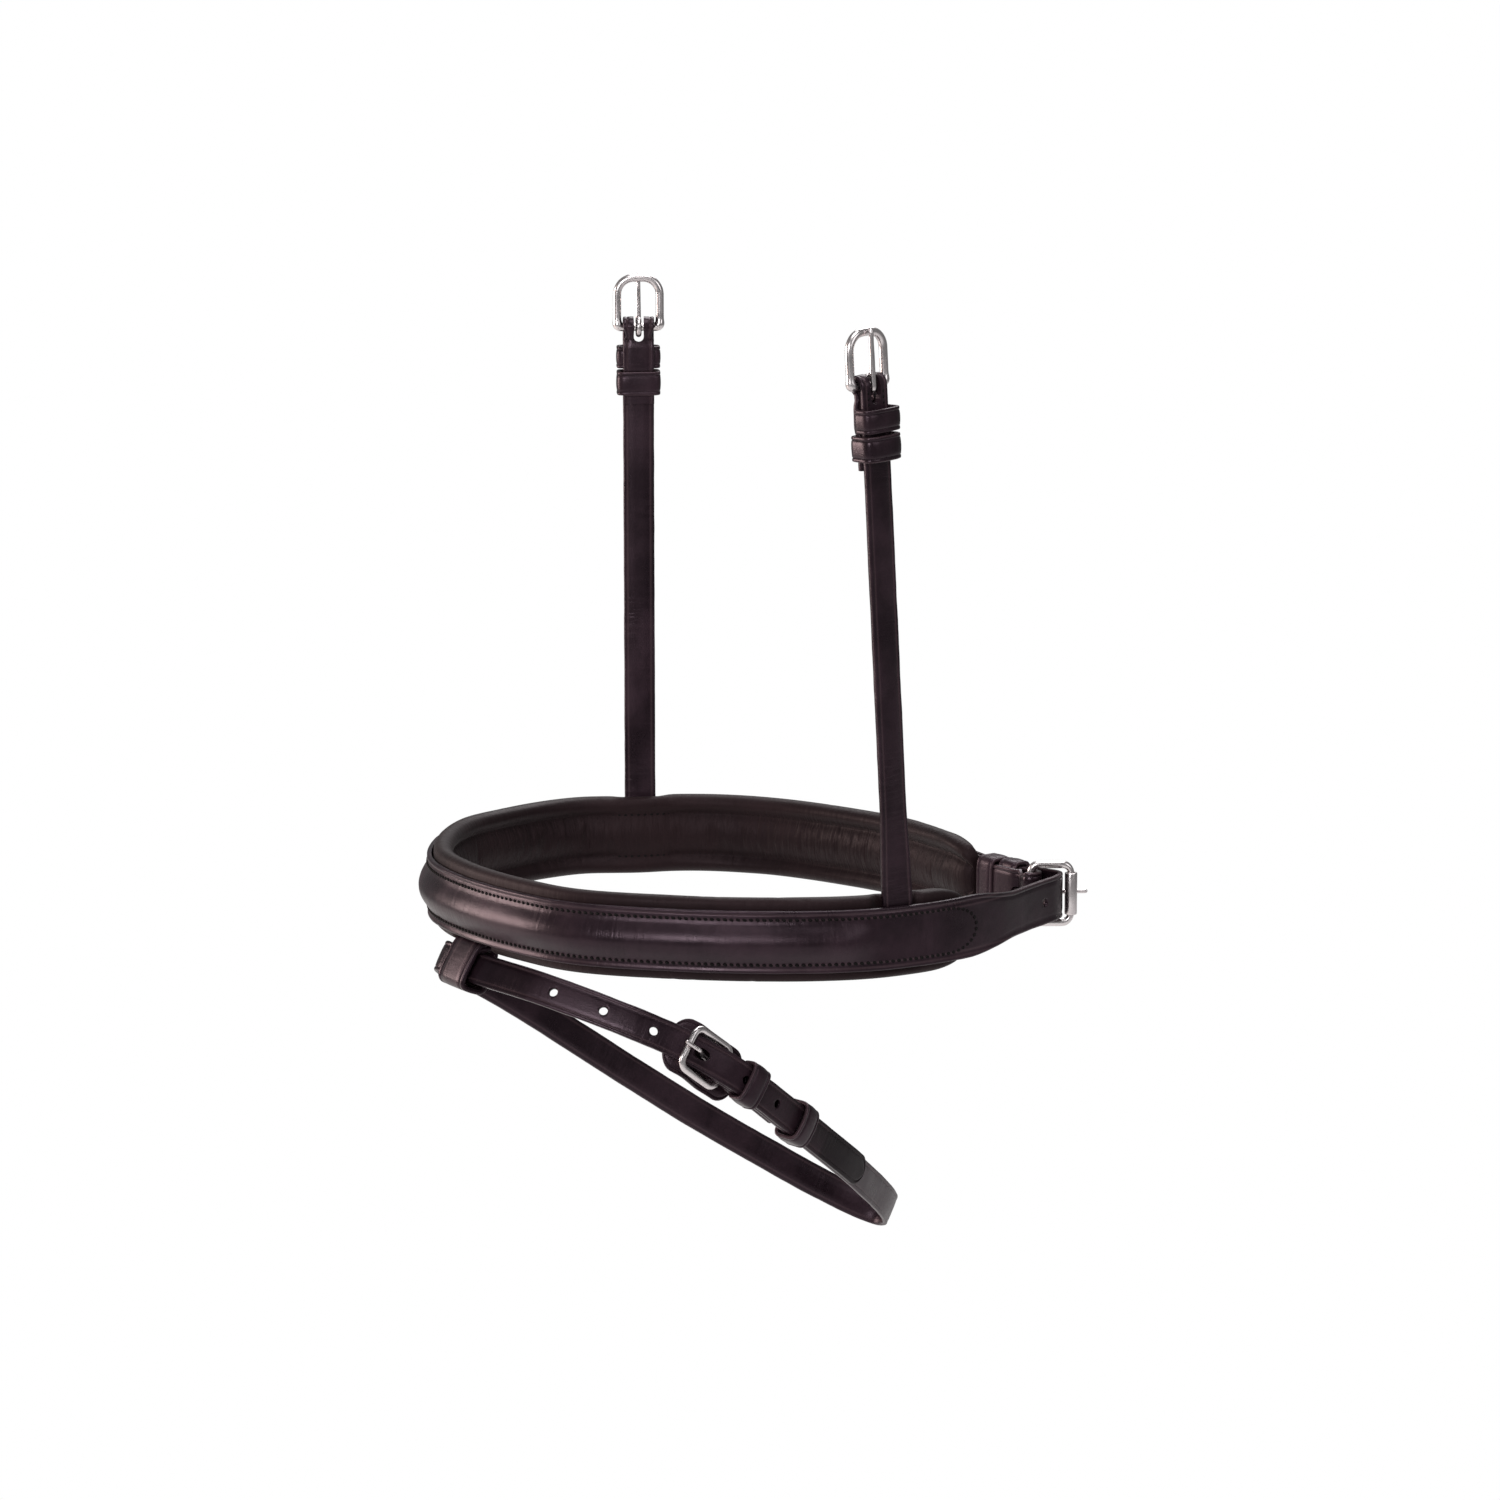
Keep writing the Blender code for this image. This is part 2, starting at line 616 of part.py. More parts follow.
def noseband_strap(band):
    """The outer strap: jaw billet, raised front, and the end turned round the buckle."""
    rings = []
    stations = with_tip(band.stations, BILLET_HEIGHT / 2.0)
    from_tips = running_lengths([station[0] for station in stations])
    for station, from_tip in zip(stations, from_tips):
        distance = from_tip - band.nose_length
        height = tip_width(from_tip, band_height_at(distance, band), BILLET_HEIGHT / 2.0)
        rings.append(band_ring(station, height, raise_at(distance)))
    for station in band.fold:
        rings.append(band_ring(station, BILLET_HEIGHT, 0.0))
    item = place("noseband_strap", skin(rings), LEATHER)
    cutters = []
    tongue_side = (ROLLER_DIAMETER + JAW_TONGUE_WIRE) / 2.0 * JAW_PASS / JAW_FRAME_REACH
    hole_length = length_to(band.stations, nearest(band.stations, band.passing)) - tongue_side
    for number in range(-JAW_HOLES_BEHIND, JAW_HOLES_AHEAD + 1):
        station = station_at(band.stations, hole_length + number * JAW_HOLE_PITCH)
        name = f"jaw_hole_cutter_{number + JAW_HOLES_BEHIND}"
        length = JAW_HOLE_LENGTH if number == 0 else None
        cutters.append(hole_cutter(name, station, HOLE_DIAMETER, BAND_THICK, length))
    heading = band.stations[-1][1]
    depth = band.fold_radius + (BAND_THICK + GAP) / 2.0
    ahead = band.fold_radius + BAND_THICK
    sizes = (ahead + JAW_TONGUE_WIRE, ahead, depth, SLOT_WIDTH)
    cutters.append(slot_cutter("jaw_slot_cutter", band.heel, heading, band.up, sizes))
    cut(item, cutters)


def pockets():
    """Middle, half length and depth of each dip in the lining: for the hangers and the tab."""
    hanger_half = HANGER_WIDTH / 2.0 + POCKET_EASE
    tab_half = TAB_WIDTH / 2.0 + POCKET_EASE
    hanger_depth = HANGER_THICK + GAP
    tab_depth = TAB_THICK + TAB_INSET + GAP
    return ((-HANGER_REACH_LEFT, hanger_half, hanger_depth),
            (HANGER_REACH_RIGHT, hanger_half, hanger_depth), (0.0, tab_half, tab_depth))


def pocket_at(distance):
    """How deep the lining dips at a signed length from the nose."""
    dip = 0.0
    for middle, half, depth in pockets():
        away = (half - abs(distance - middle)) / (POCKET_EASE * 0.8)
        dip = max(dip, depth * ease(away))
    return dip


def pad_size_at(distance, band):
    """Share of the padding's full size at a signed length from the nose."""
    left = (distance + PAD_NEAR_REACH) / PAD_TAPER
    right = (band.pad_far_reach - distance) / PAD_TAPER
    share = min(max(min(left, right), 0.0), 1.0)
    return math.sqrt(1.0 - (1.0 - share) ** 2)


# Half outline of the padding, from the middle of its inner face to its outer edge:
# height as a share of the half height, depth as a share of the depth.
PAD_OUTLINE_SHARES = ((0.0, 0.97), (0.30, 0.90), (0.47, 0.64), (0.70, 1.0), (0.94, 0.76),
                      (1.0, 0.36), (0.84, 0.0))
PAD_WALL_STEPS = (0, 2, 3, 5, 6)    # the outline's points that the lining's inner side has
PAD_END_SHARES = (0.0, 0.08, 0.3, 0.65, 1.0)
PAD_END_HEIGHT_SHARE = 0.62
EDGE_SHARE = 0.8            # points further out than this are the padding's edges
GROOVE_GAP_SHARE = 2.4      # a slanted groove needs a deeper step for the same gap
PAD_END_DEPTH_SHARE = 0.34


def pad_outline(share, wall, gap, steps):
    """Outline of the padding inside a wall and a gap, from its top edge round to its lower one."""
    half = PAD_HEIGHT / 2.0 * (PAD_END_HEIGHT_SHARE + (1.0 - PAD_END_HEIGHT_SHARE) * share)
    depth = PAD_DEPTH * (PAD_END_DEPTH_SHARE + (1.0 - PAD_END_DEPTH_SHARE) * share)
    points = []
    for step in steps:
        z_share, out_share = PAD_OUTLINE_SHARES[step]
        height = (half - wall) * z_share - (gap if z_share > EDGE_SHARE else 0.0)
        out = wall + (depth - 2.0 * wall) * out_share
        out += gap if out_share == 0.0 else -gap * GROOVE_GAP_SHARE * (out_share > 0.5)
        points.append((height, -out))
    return list(reversed(points)) + [(-z, out) for z, out in points[1:]]


def pad_stations(band):
    """Signed lengths and stations of the padding, closer together at its rounded ends."""
    reaches = [band.reach(index) for index in range(0, len(band.stations), 2)]
    start, end = -PAD_NEAR_REACH, band.pad_far_reach
    kept = [start + PAD_TAPER * share for share in PAD_END_SHARES]
    plain = [distance for distance in reaches if start + PAD_TAPER < distance < end - PAD_TAPER]
    for middle, half, _ in pockets():
        flat = half - POCKET_EASE * 0.8
        plain = [distance for distance in plain if abs(distance - middle) > half]
        plain += [middle - half, middle - flat, middle + flat, middle + half]
    kept += sorted(distance for distance in plain if distance > start + PAD_TAPER)
    kept += [end - PAD_TAPER * share for share in reversed(PAD_END_SHARES)]
    return [(distance, band.at(distance)) for distance in kept]


def lay_outline(station, outline, dip):
    """Set an outline of heights and depths on the inner side of the band."""
    point, _, normal = station
    base = point - normal * (BAND_THICK / 2.0 + GAP + dip)
    return [base + Band.up * z + normal * out for z, out in outline]


def pad_lining(band):
    """Soft leather wrapped round the padding, open along the strap."""
    rings = []
    for distance, station in pad_stations(band):
        share = pad_size_at(distance, band)
        outer = pad_outline(share, 0.0, 0.0, range(len(PAD_OUTLINE_SHARES)))
        inner = pad_outline(share, LINING_THICK, 0.0, PAD_WALL_STEPS)
        outline = outer + list(reversed(inner))
        rings.append(lay_outline(station, outline, pocket_at(distance)))
    place("pad_lining", skin(rings), SOFT_LEATHER)


def pad_foam(band):
    """Foam that fills the lining."""
    rings = []
    for distance, station in pad_stations(band)[1:-1]:
        share = pad_size_at(distance, band)
        outline = pad_outline(share, LINING_THICK, GAP, PAD_WALL_STEPS)
        rings.append(lay_outline(station, outline, pocket_at(distance)))
    place("pad_foam", skin(rings), FOAM)


def raised_core(band):
    """Felt core that lifts the front of the outer strap."""
    crest = BAND_HEIGHT / 2.0 - STITCH_INSET - BAND_THICK / 2.0
    base = -BAND_THICK / 2.0
    reaches = [band.reach(index) for index in range(len(band.stations))]
    reaches = [distance for distance in reaches if abs(distance) < CORE_REACH - BAND_STEP / 2.0]
    rings = []
    for distance in [-CORE_REACH] + reaches + [CORE_REACH]:
        point, _, normal = band.at(distance)
        lift = raise_at(distance) - GAP * 1.5
        outline = [(crest * z_share, base + lift * out_share)
                   for z_share, out_share in CORE_OUTLINE_SHARES]
        rings.append([point + Band.up * z + normal * out for z, out in outline])
    place("raised_core", skin(rings), FOAM)


def hanger_stations(band, reach, lean, twist):
    """Stations of a hanger strap from its sewn tail to the buckle's heel bar."""
    base, _, normal = band.at(reach)
    inset = BAND_THICK / 2.0 + GAP + HANGER_THICK / 2.0
    foot = base - normal * inset
    up = Band.up
    heights = [-HANGER_TAIL, 0.0, BAND_HEIGHT / 2.0, PAD_HEIGHT / 2.0 + HANGER_WIDTH / 4.0]
    steps = 6
    rise = HANGER_HEIGHT - heights[-1]
    heights += [heights[-1] + rise * step / steps for step in range(1, steps + 1)]
    low, high = BAND_HEIGHT / 2.0, TWIST_HEIGHT
    points = []
    normals = []
    for height in heights:
        risen = max(0.0, (height - low) / (HANGER_HEIGHT - low))
        lean_now = lean * risen
        points.append(foot + up * height + Vector((0.0, lean_now, 0.0)))
        angle = math.atan2(normal.y, normal.x) + twist * ease((height - low) / (high - low))
        normals.append(Vector((math.cos(angle), math.sin(angle), 0.0)))
    stations = []
    for point, heading, outward in zip(points, slopes(points), normals):
        square = (outward - heading * outward.dot(heading)).normalized()
        stations.append((point, heading, square))
    return stations


def hanger(band, side_name, reach, lean, twist):
    """A hanger strap with its turned-back end, keepers, buckle frame and tongue."""
    stations = hanger_stations(band, reach, lean, twist)
    spacing = HANGER_TURN_IN / 4.0
    added, heel = fold_stations(
        stations, HANGER_WIRE / 2.0, HANGER_THICK, HANGER_TURN_IN, spacing)
    rings = [strap_ring(station, HANGER_WIDTH, HANGER_THICK) for station in stations + added]
    strap = place(f"hanger_strap_{side_name}", skin(rings), LEATHER)
    _, heading, normal = stations[-1]
    across = heading.cross(normal)
    turn_radius = HANGER_WIRE / 2.0 + GAP + HANGER_THICK / 2.0
    ahead = turn_radius + HANGER_THICK
    depth = turn_radius + (HANGER_THICK + GAP) / 2.0
    sizes = (ahead + HANGER_TONGUE_WIRE, ahead, depth, SLOT_WIDTH)
    cut(strap, [slot_cutter(f"hanger_slot_cutter_{side_name}", heel, heading, -across, sizes)])
    sizes = (HANGER_FRAME_REACH, HANGER_FRAME_WIDTH, HANGER_WIRE, HANGER_HEEL_ROUND,
             HANGER_ARCH_ROUND)
    buckle_frame(f"hanger_buckle_frame_{side_name}", heel, heading, across, sizes, heel)
    rest_out = HANGER_WIRE / 2.0 + GAP + HANGER_TONGUE_WIRE / 2.0
    tip = heel + heading * (HANGER_FRAME_REACH + HANGER_WIRE * 0.75) + normal * rest_out
    middle = heel + heading * (HANGER_FRAME_REACH * 0.55) + normal * rest_out
    tongue(f"hanger_buckle_tongue_{side_name}", heel, across, (middle, tip),
           HANGER_WIRE / 2.0, HANGER_TONGUE_WIRE, heel)
    depth = HANGER_THICK * 1.5 + GAP
    total = length_to(stations, len(stations) - 1)
    names = ("fixed_keeper", "running_keeper")
    for number, name in enumerate(names):
        drop = HANGER_KEEPER_DROP + number * HANGER_KEEPER_PITCH
        station = station_at(stations, total - drop)
        keeper(f"hanger_{name}_{side_name}", station, HANGER_WIDTH, depth, station[0])


def jaw_buckle(band):
    """The roller buckle that closes the noseband under the jaw."""
    heel = band.heel
    forward = band.frame_forward
    up = Band.up
    outward = up.cross(forward)
    reach = JAW_FRAME_REACH
    width = JAW_FRAME_HEIGHT - JAW_WIRE
    face = forward.cross(up)
    rings = []
    for place_on, out in rounded_outline(reach, width, JAW_CORNER, JAW_CORNER):
        point = heel + forward * place_on[0] + up * place_on[1]
        direction = forward * out[0] + up * out[1]
        on_front = place_on[0] > reach - EDGE_ROUND
        wire = JAW_CROSSBAR_WIRE if on_front else JAW_WIRE
        rings.append(wire_ring(point, direction, face, wire / 2.0))
    place("jaw_buckle_frame", skin(rings, closed=True), STEEL, 1.0, heel)
    middle = heel + forward * reach
    roller(middle, forward, up, outward)
    rest_out = ROLLER_DIAMETER / 2.0 + GAP + JAW_TONGUE_WIRE / 2.0
    points = []
    for share in (0.45, 0.75, 1.0, 1.40):
        points.append(heel + forward * reach * share + outward * rest_out * min(share, 1.0))
    tongue("jaw_buckle_tongue", heel, -up, points, JAW_WIRE / 2.0, JAW_TONGUE_WIRE, heel)
    total = length_to(band.stations, len(band.stations) - 1)
    depth = BAND_THICK * 1.5 + GAP
    for number, name in enumerate(("fixed_keeper", "running_keeper")):
        drop = JAW_KEEPER_DROP + number * JAW_KEEPER_PITCH
        station = station_at(band.stations, total - drop)
        keeper(f"jaw_{name}", station, BILLET_HEIGHT, depth, station[0])


def roller(middle, forward, up, outward):
    """A tube that turns on the buckle's front bar."""
    steps = 12
    outer = ROLLER_DIAMETER / 2.0
    inner = JAW_CROSSBAR_WIRE / 2.0 + GAP
    half = ROLLER_LENGTH / 2.0
    profile = ((inner, -half), (outer, -half), (outer, half), (inner, half))
    rings = []
    for step in range(steps):
        angle = 2.0 * math.pi * step / steps
        reach = forward * math.cos(angle) + outward * math.sin(angle)
        rings.append([middle + reach * radius + up * along for radius, along in profile])
    place("jaw_buckle_roller", skin(rings, closed=True), STEEL, 1.0, middle)


class Loop:
    """Axes and routes of the flash strap."""

    def __init__(self, band):
        nose = band.at(0.0)[0]
        self.slot = nose - Band.up * TAB_DROP
        self.along = Vector((0.0, math.cos(FLASH_SLOPE), -math.sin(FLASH_SLOPE)))
        side = Vector((1.0, 0.0, 0.0))
        lift = side.cross(self.along)
        self.across = side * math.cos(FLASH_ROLL) + lift * math.sin(FLASH_ROLL)
        self.normal = self.along.cross(self.across)
        if self.normal.z < 0.0:
            self.normal = -self.normal
        near = [self.spot(shares) for shares in FLASH_NEAR_SHARES]
        far = [self.spot(shares) for shares in FLASH_FAR_SHARES]
        inner = stations_of(smooth_route(near + far, FLASH_STEP), self.normal)
        end, end_heading, end_normal = inner[-1]
        fold_radius = FLASH_WIRE / 2.0 + GAP + FLASH_THICK / 2.0
        lengths = length_to(inner, len(inner) - 1)
        over = []
        laps = 7
        first_over = fold_radius * 0.1
        for step in range(laps):
            back = FLASH_TIP_REACH - (FLASH_TIP_REACH - first_over) * step / (laps - 1)
            point, _, outward_now = station_at(inner, lengths - back)
            over.append(point + outward_now * (FLASH_THICK + GAP))
        whole = smooth_route(over + near + far, FLASH_STEP)
        self.stations = stations_of(whole, self.normal)
        self.fold, self.heel = fold_stations(
            self.stations, FLASH_WIRE / 2.0, FLASH_THICK, FLASH_TURN_IN, FLASH_STEP)
        self.total = length_to(self.stations, len(self.stations) - 1)
        nearest_heel = nearest(self.stations[:len(self.stations) // 2], self.heel)
        self.hole_length = length_to(self.stations, nearest_heel) + FLASH_PASS
        self.end_heading = self.stations[-1][1]
        self.end_normal = self.stations[-1][2]
        turn = FLASH_FRAME_TURN
        self.forward = (self.end_heading * math.cos(turn)
                        + self.end_normal * math.sin(turn)).normalized()
        self.bar_axis = self.end_heading.cross(self.end_normal).normalized()
        self.fold_radius = fold_radius

    def spot(self, shares):
        """A point of the loop from its shares of the reach."""
        along, across, off = shares
        return (self.slot + self.along * FLASH_REACH * along
                + self.across * FLASH_REACH * across + self.normal * FLASH_REACH * off)


def flash_tab(band, loop):
    """A leather strip sewn behind the band at the nose and folded into a loop below it.

    The flash strap goes through the loop.
    """
    nose, heading, outward = band.at(0.0)
    up = Band.up
    tilted_up = up * math.cos(TAB_TILT) - outward * math.sin(TAB_TILT)
    tilted_out = outward * math.cos(TAB_TILT) + up * math.sin(TAB_TILT)
    slot = loop.slot - tilted_out * TAB_BACK + tilted_up * TAB_RAISE
    high = (TAB_SLOT_HEIGHT + TAB_THICK) / 2.0
    deep = (TAB_SLOT_DEPTH + TAB_THICK) / 2.0
    edge = BAND_HEIGHT / 2.0
    behind = nose - outward * (BAND_THICK / 2.0 + GAP + TAB_INSET + TAB_THICK / 2.0)
    points = [behind - up * (edge - TAB_HEM), behind - up * (edge - TAB_HEM / 2.0),
              behind - up * (edge + GAP + TAB_THICK / 2.0)]
    points.append(slot + tilted_up * (high - TAB_CORNER / 4.0) + tilted_out * (deep - TAB_CORNER))
    for number, signs in enumerate(((1.0, -1.0), (-1.0, -1.0), (-1.0, 1.0))):
        middle = (slot + tilted_out * signs[0] * (deep - TAB_CORNER)
                  + tilted_up * signs[1] * (high - TAB_CORNER))
        for step in range(CORNER_STEPS):
            angle = math.pi / 2.0 * (number + step / (CORNER_STEPS - 1))
            direction = tilted_out * math.cos(angle) - tilted_up * math.sin(angle)
            points.append(middle + direction * TAB_CORNER)
    points.append(slot + tilted_up * (high - TAB_THICK - GAP)
                  + tilted_out * (deep - TAB_THICK - GAP))
    stations = stations_of(points, heading)
    place("flash_tab", skin([strap_ring(item, TAB_WIDTH, TAB_THICK) for item in stations]), LEATHER)


def flash_strap(loop):
    """The flash strap: billet, loop and the end turned round its buckle."""
    rings = []
    stations = with_tip(loop.stations, FLASH_WIDTH / 2.0)
    from_tips = running_lengths([station[0] for station in stations])
    for station, from_tip in zip(stations, from_tips):
        width = tip_width(from_tip, FLASH_WIDTH, FLASH_WIDTH / 2.0)
        rings.append(strap_ring(station, width, FLASH_THICK))
    rings += [strap_ring(station, FLASH_WIDTH, FLASH_THICK) for station in loop.fold]
    item = place("flash_strap", skin(rings), LEATHER, origin=loop.slot)
    depth = loop.fold_radius + (FLASH_THICK + GAP) / 2.0
    reach = loop.fold_radius + FLASH_THICK
    sizes = (reach + FLASH_TONGUE_WIRE, reach, depth, SLOT_WIDTH)
    cutters = [slot_cutter("flash_slot_cutter", loop.heel, loop.end_heading, loop.bar_axis, sizes)]
    for number in range(-FLASH_HOLES_AHEAD, FLASH_HOLES_BEHIND + 1):
        station = station_at(loop.stations, loop.hole_length + number * FLASH_HOLE_PITCH)
        name = f"flash_hole_cutter_{number + FLASH_HOLES_AHEAD}"
        length = FLASH_HOLE_LENGTH if number == 0 else None
        cutters.append(hole_cutter(name, station, HOLE_DIAMETER, FLASH_THICK, length))
    cut(item, cutters)


def flash_buckle(loop):
    """The flash strap's buckle: frame, tongue and the leather guard behind it."""
    heel = loop.heel
    forward = loop.forward
    bar_axis = loop.bar_axis
    outward = loop.end_normal - forward * loop.end_normal.dot(forward)
    outward.normalize()
    sizes = (FLASH_FRAME_REACH, FLASH_FRAME_WIDTH, FLASH_WIRE, FLASH_CORNER, FLASH_CORNER)
    buckle_frame("flash_buckle_frame", heel, forward, bar_axis, sizes, heel)
    rest = FLASH_WIRE / 2.0 + GAP + FLASH_TONGUE_WIRE / 2.0
    front = heel + forward * FLASH_FRAME_REACH
    hole = station_at(loop.stations, loop.hole_length)
    hook_radius = FLASH_WIRE / 2.0 + GAP + FLASH_TONGUE_WIRE / 2.0
    through = hole[0]
    above = hole[0] + hole[2] * (FLASH_THICK / 2.0 + rest) + forward * hook_radius
    over = front + outward * rest
    tip = over + forward * (FLASH_WIRE / 2.0 + FLASH_TONGUE_WIRE)
    points = [through - (above - through) * 0.25, through, above, above.lerp(over, 0.55), over, tip]
    tongue("flash_buckle_tongue", heel, -bar_axis, points, FLASH_WIRE / 2.0, FLASH_TONGUE_WIRE,
           heel)
    flash_guard(loop)
    depth = FLASH_THICK * 1.5 + GAP
    for number, name in enumerate(("fixed_keeper", "running_keeper")):
        drop = FLASH_KEEPER_DROP + number * FLASH_KEEPER_PITCH
        station = station_at(loop.stations, loop.total - drop)
        keeper(f"flash_{name}", station, FLASH_WIDTH, depth, station[0])


def flash_guard(loop):
    """A leaf of leather behind the flash buckle, between its wire and the skin."""
    heel_length = loop.hole_length - FLASH_PASS
    billet_offset = (FLASH_THICK + GUARD_THICK) / 2.0 + GAP
    heel_station = station_at(loop.stations, heel_length)
    heel_offset = (heel_station[0] - loop.heel).dot(heel_station[2])
    heel_offset += loop.fold_radius + FLASH_THICK / 2.0 + GAP + GUARD_THICK / 2.0
    steps = 12
    points = []
    for step in range(steps + 1):
        distance = heel_length - GUARD_BEHIND + GUARD_LENGTH * step / steps
        point, _, normal = station_at(loop.stations, distance)
        rising = ease((distance - heel_length - loop.fold_radius * 1.6) / (GUARD_BEHIND * 0.9))
        offset = heel_offset + (billet_offset - heel_offset) * rising
        points.append(point - normal * offset)
    stations = with_tip(stations_of(points, loop.normal), GUARD_WIDTH / 3.0)
    total = running_lengths([station[0] for station in stations])
    rings = []
    for station, so_far in zip(stations, total):
        from_end = min(so_far, total[-1] - so_far)
        width = tip_width(from_end, GUARD_WIDTH, GUARD_WIDTH / 3.0)
        rings.append(strap_ring(station, width, GUARD_THICK))
    place("flash_buckle_guard", skin(rings), LEATHER, origin=loop.slot)


def build():
    """Make every piece of the noseband."""
    clear_scene()
    band = Band()
    noseband_strap(band)
    pad_lining(band)
    pad_foam(band)
    raised_core(band)
    hanger(band, "left", -HANGER_REACH_LEFT, HANGER_LEAN_LEFT, HANGER_TWIST_LEFT)
    hanger(band, "right", HANGER_REACH_RIGHT, HANGER_LEAN_RIGHT, HANGER_TWIST_RIGHT)
    jaw_buckle(band)
    loop = Loop(band)
    flash_tab(band, loop)
    flash_strap(loop)
    flash_buckle(loop)


build()
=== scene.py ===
"""Looks of a flash noseband: leather, padding, stitching, buckles, studio and camera.

Every size is in metres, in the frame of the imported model: +Z up towards the poll, -Y the
front of the nose, +X the horse's left side.
"""
import json
import logging
import math
from dataclasses import dataclass, field
from enum import Enum
from typing import NamedTuple, Sequence

import bmesh
import bpy
from mathutils import Matrix, Vector, noise


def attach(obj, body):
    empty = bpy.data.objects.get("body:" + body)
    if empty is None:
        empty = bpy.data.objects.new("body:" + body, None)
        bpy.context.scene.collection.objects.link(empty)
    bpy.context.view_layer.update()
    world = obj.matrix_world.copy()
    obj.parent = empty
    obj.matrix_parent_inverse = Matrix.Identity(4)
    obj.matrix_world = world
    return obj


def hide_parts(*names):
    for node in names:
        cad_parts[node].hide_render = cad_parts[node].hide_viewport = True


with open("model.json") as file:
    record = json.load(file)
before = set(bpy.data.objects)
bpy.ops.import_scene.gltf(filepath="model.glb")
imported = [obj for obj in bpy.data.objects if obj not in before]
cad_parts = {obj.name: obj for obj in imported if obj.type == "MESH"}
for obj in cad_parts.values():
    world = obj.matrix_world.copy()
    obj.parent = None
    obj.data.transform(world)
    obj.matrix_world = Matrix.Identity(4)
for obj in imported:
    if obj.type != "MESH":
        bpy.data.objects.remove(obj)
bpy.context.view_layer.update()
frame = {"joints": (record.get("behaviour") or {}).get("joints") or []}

LOG = logging.getLogger("flash_noseband")
MM = 0.001
UP = Vector((0.0, 0.0, 1.0))

# Clearances
GAP = 0.0003
RUN = 0.0004

# The noseband's strap
RING_HALF_WIDTH = 0.108
RING_HALF_DEPTH = 0.115
BAND_HEIGHT = 0.023
BAND_THICK = 0.0022
BILLET_HEIGHT = 0.017
STITCH_INSET = 0.0032
RAISE = 0.0033
CORE_REACH = 0.163
CORE_TAPER = 0.012
PAD_HEIGHT = 0.030
PAD_DEPTH = 0.0085
PAD_NEAR_REACH = 0.2120
PAD_TAPER = 0.016
NARROWING = 0.030
PAD_TO_CHAPE = 0.0065
POCKET_EASE = 0.006

# Hangers
HANGER_WIDTH = 0.012
HANGER_THICK = 0.0022
HANGER_REACH_LEFT = 0.1810
HANGER_REACH_RIGHT = 0.1830
HANGER_LEAN_LEFT = -0.0105
HANGER_LEAN_RIGHT = 0.0
HANGER_TWIST_LEFT = 0.28
HANGER_TWIST_RIGHT = -0.10
HANGER_HEIGHT = 0.2005
HANGER_TAIL = 0.009
HANGER_TURN_IN = 0.030
TWIST_HEIGHT = 0.050
HANGER_FRAME_WIDTH = 0.0196
HANGER_FRAME_REACH = 0.0190
HANGER_WIRE = 0.0030
HANGER_TONGUE_WIRE = 0.0022
HANGER_KEEPER_DROP = 0.0116
HANGER_KEEPER_PITCH = 0.0103

# Keepers
KEEPER_WIDTH = 0.0092
KEEPER_THICK = 0.0015

# Jaw buckle
JAW_FRAME_HEIGHT = 0.0252
JAW_FRAME_REACH = 0.0150
JAW_FRAME_TURN = 0.78
JAW_WIRE = 0.0030
JAW_CROSSBAR_WIRE = 0.0024
JAW_TONGUE_WIRE = 0.0022
JAW_PASS = 0.0105
JAW_TURN_IN = 0.024
JAW_TIP_REACH = 0.078
JAW_KEEPER_DROP = 0.0122
JAW_KEEPER_PITCH = 0.0100
ROLLER_DIAMETER = 0.0047
ROLLER_LENGTH = 0.0160

# Flash tab
TAB_WIDTH = 0.018
TAB_THICK = 0.0020
TAB_SLOT_HEIGHT = 0.0148
TAB_SLOT_DEPTH = 0.0080
TAB_HEM = 0.0055
TAB_TILT = 0.38
TAB_BACK = 0.0004
TAB_RAISE = 0.0010
TAB_CORNER = 0.0026
TAB_INSET = 0.0012

# Flash strap
FLASH_WIDTH = 0.012
FLASH_THICK = 0.0020
FLASH_REACH = 0.208
FLASH_SLOPE = 0.5618
FLASH_ROLL = 0.2094
FLASH_TIP_REACH = 0.101
FLASH_TURN_IN = 0.034
FLASH_FRAME_WIDTH = 0.0190
FLASH_FRAME_REACH = 0.0185
FLASH_FRAME_TURN = 0.105
FLASH_WIRE = 0.0028
FLASH_TONGUE_WIRE = 0.0019
FLASH_KEEPER_DROP = 0.0115
FLASH_KEEPER_PITCH = 0.0355
FLASH_PASS = 0.0114
GUARD_WIDTH = 0.0212
GUARD_LENGTH = 0.040
GUARD_THICK = 0.0013
GUARD_BEHIND = 0.014

# Holes and stitches
HOLE_DIAMETER = 0.0042
HOLE_DRAWN = 0.0062
HOLE_SMALL = 0.0033
JAW_HOLE_DRAWN = 0.0078
JAW_HOLE_PITCH = 0.020
FLASH_HOLE_PITCH = 0.0198
SLOT_WIDTH = 0.0036
STITCH_PITCH = 0.00235
STITCH_DIP = 0.00022
FINE_PITCH = 0.0021
FINE_LENGTH = 0.0015
FINE_THREAD = 0.0007
FINE_INSET = 0.0024
FINE_START = 0.0022
THREAD_SINK = 0.00005
KEEPER_STITCH_GAP = 0.0006
SLIT_DEPTH = 0.62

# How a billet lies at its buckle and narrows to its tip
CLOSING_SHARE = 2.3
KEEPER_HOLD = 1.5
LAPS = 7
TIP_SHARES = (0.0, 0.02, 0.06, 0.12, 0.2, 0.3, 0.42, 0.56, 0.72, 0.9)

# Wear: the most that a surface moves, and its waves in a metre
WEAR_STRAP = 0.00016
WEAR_SMALL = 0.00012
WAVES_BAND = 90.0
WAVES_STRAP = 110.0
WAVES_GUARD = 130.0
WAVES_TAB = 150.0
WAVES_KEEPER = 160.0

